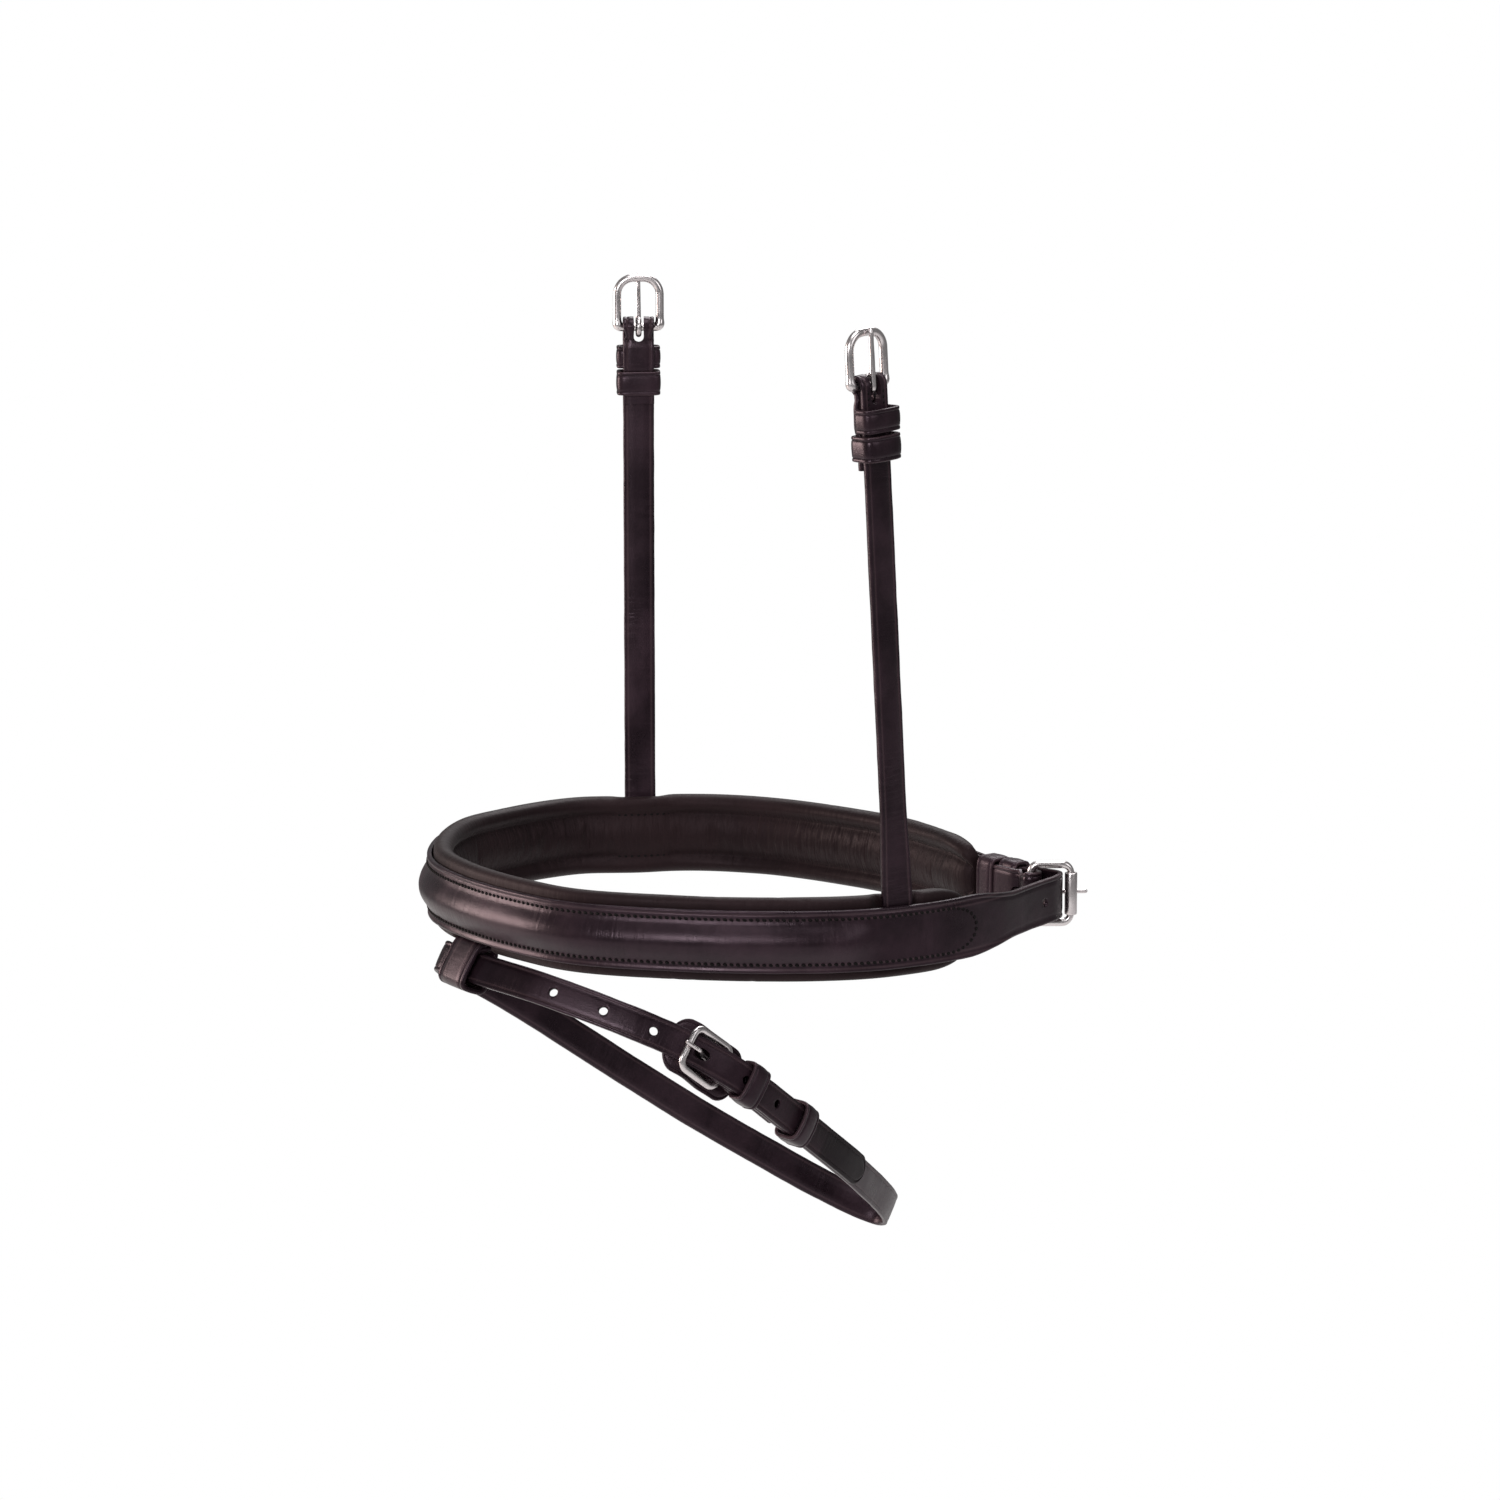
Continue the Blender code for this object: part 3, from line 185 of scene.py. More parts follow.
# Fineness of the skins, with the angles in degrees from which their edges are sharp
STEP = 0.0017
KEEPER_STEP = 0.0007
WIRE_STEP = 0.0006
TONGUE_STEP = 0.0008
TAB_STEP = 0.0009
BEND_STEP_ANGLE = 0.10
WIRE_SIDES = 20
LINE_SAMPLES = 900
LINE_LOOK = 0.0003
SHARP_STRAP = 50.0
SHARP_ROLLER = 60.0

# Slots
STRAP_SLOT = "strap_leather"
STEEL_SLOT = "polished_steel"

# Middle of the band seen from above, as shares of the ring's half width and half depth
RING_PLAN_SHARES = (
    (0.667, 0.800), (0.716, 0.726), (0.773, 0.640), (0.868, 0.500), (0.945, 0.325), (0.975, 0.180),
    (0.981, 0.040), (0.952, -0.115), (0.850, -0.345), (0.698, -0.573), (0.463, -0.820),
    (0.214, -0.929), (-0.086, -0.990), (-0.376, -0.981), (-0.666, -0.859),
    (-0.851, -0.710), (-0.946, -0.540), (-1.008, -0.370), (-1.025, -0.200),
    (-0.960, 0.000), (-0.922, 0.132), (-0.842, 0.270), (-0.682, 0.425),
    (-0.455, 0.557), (-0.180, 0.668), (0.060, 0.708), (0.330, 0.725), (0.470, 0.752),
    (0.558, 0.783),
)

# Middle of the flash strap: along the loop, across it and off its plane, as shares of its reach
FLASH_NEAR_SHARES = (
    (0.297, 0.287, 0.004), (0.224, 0.255, 0.003), (0.131, 0.191, 0.001), (0.075, 0.139, 0.0),
    (0.030, 0.070, 0.0), (0.004, 0.030, 0.0), (-0.003, -0.005, 0.003), (-0.009, -0.048, 0.008),
)
FLASH_FAR_SHARES = (
    (-0.012, -0.082, 0.014), (0.005, -0.107, 0.016), (0.045, -0.113, 0.016),
    (0.124, -0.109, 0.016), (0.222, -0.111, 0.013), (0.323, -0.117, 0.008),
    (0.472, -0.124, 0.001), (0.622, -0.130, -0.005), (0.771, -0.133, -0.007),
    (0.920, -0.131, -0.008), (1.000, -0.121, -0.007), (1.042, -0.095, -0.006),
    (1.043, -0.062, -0.005), (1.012, -0.020, -0.004), (0.946, 0.037, -0.005),
    (0.805, 0.137, -0.008), (0.680, 0.205, -0.009), (0.571, 0.257, -0.008),
    (0.489, 0.290, -0.006), (0.432, 0.304, -0.003), (0.400, 0.306, -0.001),
)


class Side(Enum):
    """Which cheek a hanger lies on."""

    LEFT = "left"
    RIGHT = "right"


class Part(Enum):
    """Which finish a face of a leather piece has."""

    GRAIN = 0
    EDGE = 1
    FLESH = 2
    CUT = 3


class Station(NamedTuple):
    """A place along a strap with its heading and its outer normal."""

    point: Vector
    heading: Vector
    normal: Vector

    @property
    def across(self) -> Vector:
        """Direction of the strap's width."""
        return self.heading.cross(self.normal)


def ease(value: float) -> float:
    """Smooth step.

    Args:
        value: share of the way, clipped to 0 and 1.

    Returns:
        The eased share.
    """
    value = min(max(value, 0.0), 1.0)
    return value * value * (3.0 - 2.0 * value)


def running_lengths(points: Sequence[Vector]) -> list[float]:
    """Measure along a line of points.

    Args:
        points: the line's points.

    Returns:
        The length up to each point.
    """
    lengths = [0.0]
    for start, end in zip(points, points[1:]):
        lengths.append(lengths[-1] + (end - start).length)
    return lengths


def slopes(points: Sequence[Vector]) -> list[Vector]:
    """Find the heading at each point of a line.

    Args:
        points: the line's points.

    Returns:
        Unit headings.
    """
    last = len(points) - 1
    return [(points[min(index + 1, last)] - points[max(index - 1, 0)]).normalized()
            for index in range(len(points))]


def point_at(points: Sequence[Vector], lengths: Sequence[float], distance: float) -> Vector:
    """Find the point at a length along a line, carried straight on past its ends.

    Args:
        points: the line's points.
        lengths: a rising measure for each point.
        distance: where to read, in the same measure.

    Returns:
        The point there.
    """
    index = 1
    while index < len(points) - 1 and lengths[index] < distance:
        index += 1
    share = (distance - lengths[index - 1]) / (lengths[index] - lengths[index - 1])
    return points[index - 1] + (points[index] - points[index - 1]) * share


def smooth_route(points: Sequence[Vector], spacing: float) -> list[Vector]:
    """Lay points along a centripetal spline, closer where it bends.

    Args:
        points: the points that the spline goes through.
        spacing: length of straight line between two points.

    Returns:
        The points of the route.
    """
    ends = [points[0] * 2.0 - points[1]] + list(points) + [points[-1] * 2.0 - points[-2]]
    fine: list[Vector] = []
    steps = 24
    for p0, p1, p2, p3 in zip(ends, ends[1:], ends[2:], ends[3:]):
        k0 = 0.0
        k1 = k0 + math.sqrt((p1 - p0).length)
        k2 = k1 + math.sqrt((p2 - p1).length)
        k3 = k2 + math.sqrt((p3 - p2).length)
        for step in range(steps):
            k = k1 + (k2 - k1) * step / steps
            a1 = p0.lerp(p1, (k - k0) / (k1 - k0))
            a2 = p1.lerp(p2, (k - k1) / (k2 - k1))
            a3 = p2.lerp(p3, (k - k2) / (k3 - k2))
            b1 = a1.lerp(a2, (k - k0) / (k2 - k0))
            b2 = a2.lerp(a3, (k - k1) / (k3 - k1))
            fine.append(b1.lerp(b2, (k - k1) / (k2 - k1)))
    fine.append(points[-1].copy())
    headings = slopes(fine)
    measures = [0.0]
    for index in range(1, len(fine)):
        length = (fine[index] - fine[index - 1]).length
        bend = headings[index].angle(headings[index - 1], 0.0)
        measures.append(measures[-1] + length / spacing + bend / BEND_STEP_ANGLE)
    count = max(2, round(measures[-1]))
    return [point_at(fine, measures, measures[-1] * step / count) for step in range(count + 1)]


def stations_of(points: Sequence[Vector], width_axis: Vector) -> list[Station]:
    """Set stations on a strap whose width lies along one axis.

    Args:
        points: the strap's middle line.
        width_axis: direction of the strap's width.

    Returns:
        A station for each point.
    """
    return [Station(point, heading, width_axis.cross(heading).normalized())
            for point, heading in zip(points, slopes(points))]


@dataclass
class Route:
    """A strap's middle line, with a quick way to read any place along it."""

    stations: list[Station]
    lengths: list[float] = field(init=False)

    def __post_init__(self) -> None:
        """Measure the line."""
        self.lengths = running_lengths([station.point for station in self.stations])

    @property
    def total(self) -> float:
        """Whole length."""
        return self.lengths[-1]

    def at(self, distance: float) -> Station:
        """Read a station.

        Args:
            distance: length from the start.

        Returns:
            The station there, carried straight on past the ends.
        """
        low, high = 0, len(self.lengths) - 1
        while high - low > 1:
            middle = (low + high) // 2
            if self.lengths[middle] < distance:
                low = middle
            else:
                high = middle
        share = (distance - self.lengths[low]) / (self.lengths[high] - self.lengths[low])
        before, after = self.stations[low], self.stations[high]
        kept = min(max(share, 0.0), 1.0)
        heading = before.heading.lerp(after.heading, kept).normalized()
        normal = before.normal.lerp(after.normal, kept)
        normal = (normal - heading * normal.dot(heading)).normalized()
        return Station(before.point.lerp(after.point, share), heading, normal)

    def nearest_length(self, point: Vector, within: float = 1.0) -> float:
        """Find the length at which the line passes closest to a point.

        Args:
            point: the point.
            within: share of the line, from its start, to look at.

        Returns:
            The length from the start.
        """
        count = int(len(self.stations) * within)
        index = min(range(count), key=lambda item: (self.stations[item].point - point).length)
        station = self.stations[index]
        return self.lengths[index] + (point - station.point).dot(station.heading)

    def part(self, start: float, end: float, spacing: float = STEP) -> "Route":
        """Cut out an even stretch.

        Args:
            start: where it starts.
            end: where it ends.
            spacing: length between its stations.

        Returns:
            The stretch as a route of its own.
        """
        count = max(2, round((end - start) / spacing))
        return Route([self.at(start + (end - start) * step / count) for step in range(count + 1)])


def fold_back(stations: list[Station], bar_radius: float, thick: float, turn_in: float,
              keeper_at: float = 0.0) -> tuple[list[Station], Vector]:
    """Carry a strap round a bar and back along its own inner side.

    Args:
        stations: the strap up to the bar.
        bar_radius: the bar's radius.
        thick: the strap's thickness.
        turn_in: length that lies back on the strap.
        keeper_at: length from the bar to a keeper whose ends lie between the two layers.

    Returns:
        The added stations and the middle of the bar.
    """
    point, heading, normal = stations[-1]
    turn_radius = bar_radius + GAP + thick / 2.0
    centre = point - normal * turn_radius
    added: list[Station] = []
    turn_steps = 20
    for step in range(1, turn_steps + 1):
        angle = math.pi * step / turn_steps
        out = normal * math.cos(angle) + heading * math.sin(angle)
        along = heading * math.cos(angle) - normal * math.sin(angle)
        added.append(Station(centre + out * turn_radius, along, out))
    back = Route([Station(item.point, -item.heading, item.normal) for item in reversed(stations)])
    close_length = turn_radius * CLOSING_SHARE
    places: list[Vector] = []
    normals: list[Vector] = []
    count = round(turn_in / STEP)
    for step in range(1, count + 1):
        distance = turn_in * step / count
        station = back.at(distance)
        closing = ease(distance / close_length)
        offset = turn_radius * 2.0 * (1.0 - closing) + (thick + GAP) * closing
        if keeper_at:
            away = abs(distance - keeper_at) - KEEPER_WIDTH / 2.0
            lifted = thick + GAP + KEEPER_THICK * 0.85 * (1.0 - ease(away / (3.0 * MM)))
            offset = max(offset, lifted)
        places.append(station.point - station.normal * offset)
        normals.append(-station.normal)
    headings = slopes([centre - normal * turn_radius] + places)[1:]
    added += [Station(*item) for item in zip(places, headings, normals)]
    return added, centre


def lap_over(inner: Route, tip_reach: float, first_over: float, thick: float) -> list[Vector]:
    """Lay a billet over the strap that it is buckled to, from its tip on.

    Args:
        inner: the strap under the billet.
        tip_reach: length from the buckle to the billet's tip.
        first_over: length from the buckle to the last place over the strap.
        thick: the strap's thickness.

    Returns:
        The billet's first points.
    """
    over = []
    for step in range(LAPS):
        back = tip_reach - (tip_reach - first_over) * step / (LAPS - 1)
        station = inner.at(inner.total - back)
        over.append(station.point + station.normal * (thick + GAP))
    return over


def even_ring(points: Sequence[Vector], spacing: float) -> list[Vector]:
    """Space the points of a closed loop evenly.

    Args:
        points: the loop's points.
        spacing: length between two of them.

    Returns:
        Evenly spaced points.
    """
    ring = list(points) + [points[0]]
    lengths = running_lengths(ring)
    count = round(lengths[-1] / spacing)
    return [point_at(ring, lengths, lengths[-1] * step / count) for step in range(count)]


def tip_width(distance: float, width: float, length: float) -> float:
    """Narrow a strap towards its rounded tip.

    Args:
        distance: length from the tip.
        width: the strap's width.
        length: length of the rounding.

    Returns:
        The width there.
    """
    if distance >= length:
        return width
    share = 1.0 - max(distance, 0.00006) / length
    return width * math.sqrt(1.0 - share * share)


def link(name: str, mesh: bpy.types.Mesh) -> bpy.types.Object:
    """Put a mesh in the scene.

    Args:
        name: the object's name.
        mesh: its mesh.

    Returns:
        The new object.
    """
    item = bpy.data.objects.new(name, mesh)
    bpy.context.scene.collection.objects.link(item)
    return item


def settle(name: str, mesh_data: bmesh.types.BMesh, sharp: float | None = None) -> bpy.types.Object:
    """Put a drawn shape in the scene with its faces turned outward.

    Args:
        name: the object's name.
        mesh_data: its shape, which is used up.
        sharp: angle in degrees above which its edges are sharp.

    Returns:
        The new object.
    """
    bmesh.ops.recalc_face_normals(mesh_data, faces=mesh_data.faces)
    mesh = bpy.data.meshes.new(name)
    mesh_data.to_mesh(mesh)
    mesh_data.free()
    if sharp is not None:
        mesh.set_sharp_from_angle(angle=math.radians(sharp))
    return link(name, mesh)


def bridge(mesh_data: bmesh.types.BMesh, rings: Sequence[Sequence[bmesh.types.BMVert]],
           closed: bool = False, smooth: bool = True) -> None:
    """Join rings of points into a skin.

    Args:
        mesh_data: the shape that the skin is drawn in.
        rings: the rings, all of one count.
        closed: whether the last ring joins the first; otherwise both ends get a face.
        smooth: whether the skin is shaded smooth.
    """
    pairs = list(zip(rings, rings[1:]))
    if closed:
        pairs.append((rings[-1], rings[0]))
    for first, second in pairs:
        for index in range(len(first)):
            following = (index + 1) % len(first)
            corners = (first[index], first[following], second[following], second[index])
            mesh_data.faces.new(corners).smooth = smooth
    if not closed:
        mesh_data.faces.new(rings[0][::-1])
        mesh_data.faces.new(rings[-1])


Profile = list[tuple[float, float, Part]]


@dataclass(frozen=True)
class StrapSection:
    """Section of a creased leather strap, round its middle."""

    thick: float
    round_edge: float = 0.0005
    crease_inset: float = 0.0015
    crease_depth: float = 0.00022
    crease_half: float = 0.00038
    crown: float = 0.00012
    crown_steps: int = 6

    def outline(self, width: float) -> Profile:
        """Lay out the section.

        Args:
            width: the strap's width here.

        Returns:
            Places across and out of the strap, with the finish of the face after each.
        """
        half = width / 2.0
        deep = self.thick / 2.0
        worn = min(self.round_edge, half * 0.4)
        edge = [(half, worn - deep), (half, deep - worn), (half - worn * 0.3, deep - worn * 0.3),
                (half - worn, deep)]
        inset = min(self.crease_inset, half * 0.62)
        sink = self.crease_depth * min(1.0, half / self.crease_inset / 2.0)
        part = min(self.crease_half, inset * 0.25)
        top = [(half - inset + part, deep), (half - inset, deep - sink),
               (half - inset - part, deep)]
        flat = half - inset - part
        for step in range(1, self.crown_steps):
            share = 1.0 - 2.0 * step / self.crown_steps
            top.append((flat * share, deep + self.crown * (1.0 - share * share)))
        right = edge + top[:3]
        left = [(-side, out) for side, out in reversed(right)]
        upper = right + top[3:] + left
        count_edge = len(edge)
        outline: Profile = []
        for index, (side, out) in enumerate(upper):
            on_edge = index < count_edge - 2 or index >= len(upper) - count_edge + 1
            outline.append((side, out, Part.EDGE if on_edge else Part.GRAIN))
        under = [(worn - half, -deep), (-flat / 3.0, -deep), (flat / 3.0, -deep),
                 (half - worn, -deep)]
        outline += [(side, out, Part.FLESH) for side, out in under[:-1]]
        outline.append((under[-1][0], under[-1][1], Part.EDGE))
        return outline


@dataclass(frozen=True)
class BandSection:
    """Section of the noseband's outer strap: flat margins and a raised middle."""

    thick: float = BAND_THICK
    steps: int = 12
    foot_share: float = 0.90
    drop_share: float = 0.06

    def bulge(self, share: float) -> float:
        """Read the raised middle's shape.

        Args:
            share: place across, 1 at the upper row of stitches and -1 at the lower one.

        Returns:
            The share of the full rise.
        """
        away = min(1.0, abs(share + self.drop_share) / self.foot_share)
        return (1.0 - away * away) ** 1.35

    def outline(self, height: float, lift: float) -> Profile:
        """Lay out the section.

        Args:
            height: the strap's height here.
            lift: how far its middle is raised.

        Returns:
            Places across and out of the strap, with the finish of the face after each.
        """
        half = height / 2.0
        deep = self.thick / 2.0
        crest = half - min(STITCH_INSET, half * 0.4)
        section = StrapSection(self.thick, crown=0.0)
        plain = section.outline(height)
        upper = [item for item in plain if item[1] > 0.0 and item[0] > 0.0 and item[0] > crest]
        outline: Profile = [plain[0]] + [item for item in upper if item != plain[0]]
        sink = 0.00035 * min(1.0, lift / RAISE)
        for step in range(self.steps * 2 + 1):
            share = 1.0 - step / self.steps
            rise = self.bulge(share) * lift
            groove = sink * max(0.0, 1.0 - (1.0 - abs(share)) * 8.0)
            outline.append((crest * share, deep + rise - groove, Part.GRAIN))
        mirrored = [(-side, out, part) for side, out, part in reversed(outline[:len(upper)])]
        edge_from = len(mirrored) - 3
        outline += [(side, out, Part.EDGE if index >= edge_from else Part.GRAIN)
                    for index, (side, out, _) in enumerate(mirrored)]
        outline.append((-half, 0.0005 - deep, Part.EDGE))
        inner = crest - min(self.thick / 2.0, crest * 0.4)
        outline.append((0.0005 - half, -deep, Part.FLESH))
        for step in range(7):
            share = step / 3.0 - 1.0
            rise = self.bulge(share * 0.9) * lift * 0.98
            outline.append((inner * share, rise - deep, Part.FLESH))
        outline.append((half - 0.0005, -deep, Part.EDGE))
        return outline


def sweep(name: str, stations: Sequence[Station], outlines: Sequence[Profile],
          closed: bool = False, start: float = 0.0) -> bpy.types.Object:
    """Draw a section along stations as one closed skin.

    The face map named strap holds the length along the strap and the place across it.

    Args:
        name: the object's name.
        stations: where each section lies.
        outlines: the section at each station.
        closed: whether the last section joins the first.
        start: length given to the first station.

    Returns:
        The new object, with no material yet.
    """
    mesh_data = bmesh.new()
    uv_layer = mesh_data.loops.layers.uv.new("strap")
    loops = []
    for station, outline in zip(stations, outlines):
        across = station.across
        loops.append([mesh_data.verts.new(station.point + across * side + station.normal * out)
                      for side, out, _ in outline])
    lengths = [start + length for length in running_lengths([item.point for item in stations])]
    pairs = [(index, index + 1) for index in range(len(loops) - 1)]
    if closed:
        pairs.append((len(loops) - 1, 0))
        lengths.append(lengths[-1] + (stations[0].point - stations[-1].point).length)
    count = len(outlines[0])
    for first, second in pairs:
        for index in range(count):
            following = (index + 1) % count
            corners = ((first, index), (first, following), (second, following), (second, index))
            face = mesh_data.faces.new([loops[row][column] for row, column in corners])
            face.smooth = True
            face.material_index = outlines[first][index][2].value
            for loop, (row, column) in zip(face.loops, corners):
                along = lengths[-1] if closed and row == 0 and first else lengths[row]
                loop[uv_layer].uv = (along, outlines[row][column][0])
    if not closed:
        for row, order in ((0, -1), (len(loops) - 1, 1)):
            face = mesh_data.faces.new(loops[row][::order])
            face.material_index = Part.EDGE.value
            columns = range(count)[::order]
            for loop, column in zip(face.loops, columns):
                loop[uv_layer].uv = (lengths[row], outlines[row][column][0])
    return settle(name, mesh_data, SHARP_STRAP)


def dress(item: bpy.types.Object, materials: Sequence[bpy.types.Material]) -> bpy.types.Object:
    """Give a piece its materials, keeping the finish of each face.

    Args:
        item: the piece.
        materials: one material for each finish it uses.

    Returns:
        The piece.
    """
    item.data.materials.clear()
    for material in materials:
        item.data.materials.append(material)
    return item


def finish(item: bpy.types.Object, materials: Sequence[bpy.types.Material], body: str, slot: str,
           *nodes: str) -> bpy.types.Object:
    """Dress a piece and hang it on its body in place of its nodes.

    Args:
        item: the piece.
        materials: its finishes.
        body: the body that it rides on.
        slot: its material slot; not used.
        nodes: the nodes that it stands for.

    Returns:
        The piece.
    """
    dress(item, materials)
    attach(item, body)
    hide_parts(*nodes)
    LOG.info("%s", item.name)
    return item


def cut(item: bpy.types.Object, cutters: Sequence[bpy.types.Object],
        touching: bool = False) -> None:
    """Cut holes and slots in a piece for good.

    Args:
        item: the piece.
        cutters: closed shapes clear of each other, which are used up.
        touching: whether the piece may touch itself, as a strap does that laps over its own end.
    """
    cutter = join("cutters", cutters)
    boolean = item.modifiers.new("cuts", "BOOLEAN")
    boolean.operation = "DIFFERENCE"
    boolean.solver = "EXACT"
    boolean.use_self = touching
    boolean.object = cutter
    apply_modifiers(item)
    bpy.data.objects.remove(cutter)


def apply_modifiers(item: bpy.types.Object) -> None:
    """Apply every modifier of a piece.

    Args:
        item: the piece.
    """
    graph = bpy.context.evaluated_depsgraph_get()
    graph.update()
    mesh = bpy.data.meshes.new_from_object(item.evaluated_get(graph), depsgraph=graph)
    item.modifiers.clear()
    item.data = mesh


def punch(name: str, station: Station, diameter: float, depth: float,
          length: float | None = None) -> bpy.types.Object:
    """Make a cutter for a punched hole.

    Args:
        name: the cutter's name.
        station: where the hole is.
        diameter: the hole's width across the strap.
        depth: the strap's thickness.
        length: the hole's length along the strap, where the tongue has drawn it out.

    Returns:
        The cutter.
    """
    sides = 28
    rims = []
    mesh_data = bmesh.new()
    for out in (-depth, depth):
        rim = []
        for step in range(sides):
            angle = 2.0 * math.pi * step / sides
            reach = (station.heading * math.cos(angle) * (length or diameter) / 2.0
                     + station.across * math.sin(angle) * diameter / 2.0)
            rim.append(mesh_data.verts.new(station.point + station.normal * out + reach))
        rims.append(rim)
    return close_cutter(name, mesh_data, rims, True)


def punch_row(name: str, route: Route, first: float, pitch: float, numbers: range, thick: float,
              drawn: float) -> list[bpy.types.Object]:
    """Make the cutters for a billet's holes, the one in use drawn out by its tongue.

    Args:
        name: how the cutters' names start.
        route: the billet's line.
        first: length from its tip to the hole in use, which has the number 0.
        pitch: length between two holes.
        numbers: the holes.
        thick: the billet's thickness.
        drawn: length of the hole in use.

    Returns:
        The cutters.
    """
    return [punch(f"{name}_{number}", route.at(first + number * pitch),
                  HOLE_SMALL if number else HOLE_DIAMETER, thick, None if number else drawn)
            for number in numbers]


def slit(name: str, centre: Vector, forward: Vector, bar_axis: Vector, reach: tuple[float, float],
         depth: float, flare: float = 1.0) -> bpy.types.Object:
    """Make a cutter for the slit that a tongue works in, rounded at its ends.

    Args:
        name: the cutter's name.
        centre: the bar's middle.
        forward: heading of the strap at the bar.
        bar_axis: direction of the bar.
        reach: how far the slit goes behind the bar and ahead of it.
        depth: how far it cuts on each side.
        flare: how much larger it is on the outer side.

    Returns:
        The cutter.
    """
    out = forward.cross(bar_axis)
    half = SLOT_WIDTH / 2.0
    steps = 8
    rim: list[Vector] = []
    for end, along in ((1.0, reach[1] - half), (-1.0, half - reach[0])):
        for step in range(steps + 1):
            angle = math.pi * (step / steps - 0.5)
            rim.append(forward * (along + end * half * math.cos(angle))
                       + bar_axis * (end * half * math.sin(angle)))
    mesh_data = bmesh.new()
    rims = [[mesh_data.verts.new(centre + place * grow + out * side) for place in rim]
            for side, grow in ((-depth, 1.0), (depth, flare))]
    return close_cutter(name, mesh_data, rims, False)


def close_cutter(name: str, mesh_data: bmesh.types.BMesh,
                 rims: Sequence[Sequence[bmesh.types.BMVert]], smooth: bool) -> bpy.types.Object:
    """Finish a cutter whose faces all take the finish of a cut.

    Args:
        name: the cutter's name.
        mesh_data: the shape that holds its points.
        rims: its two rims.
        smooth: whether its wall is shaded smooth.

    Returns:
        The cutter.
    """
    bridge(mesh_data, rims, smooth=smooth)
    for face in mesh_data.faces:
        face.material_index = Part.CUT.value
    return settle(name, mesh_data)


def wire(name: str, places: Sequence[Vector], side_axis: Vector, radii: Sequence[float],
         closed: bool, flatten: float = 1.0) -> bpy.types.Object:
    """Draw a round wire along places.

    Args:
        name: the object's name.
        places: the wire's middle line.
        side_axis: a direction that the line never follows.
        radii: the wire's radius at each place.
        closed: whether it is a ring.
        flatten: depth along the side axis as a share of the width.

    Returns:
        The new object.
    """
    mesh_data = bmesh.new()
    count = len(places)
    rings = []
    for index, (place, radius) in enumerate(zip(places, radii)):
        before = places[index - 1] if closed or index else places[0]
        after = places[(index + 1) % count] if closed or index < count - 1 else places[-1]
        heading = (after - before).normalized()
        first = side_axis.cross(heading).normalized()
        second = heading.cross(first)
        ring = []
        for step in range(WIRE_SIDES):
            angle = 2.0 * math.pi * step / WIRE_SIDES
            reach = first * math.cos(angle) + second * math.sin(angle) * flatten
            ring.append(mesh_data.verts.new(place + reach * radius))
        rings.append(ring)
    bridge(mesh_data, rings, closed)
    return settle(name, mesh_data)


def join(name: str, items: Sequence[bpy.types.Object]) -> bpy.types.Object:
    """Join objects whose own places are the frame's origin into one.

    Args:
        name: name of the joined object.
        items: the objects, which are used up.

    Returns:
        The joined object.
    """
    mesh_data = bmesh.new()
    for item in items:
        mesh_data.from_mesh(item.data)
        bpy.data.objects.remove(item)
    mesh = bpy.data.meshes.new(name)
    mesh_data.to_mesh(mesh)
    mesh_data.free()
    return link(name, mesh)


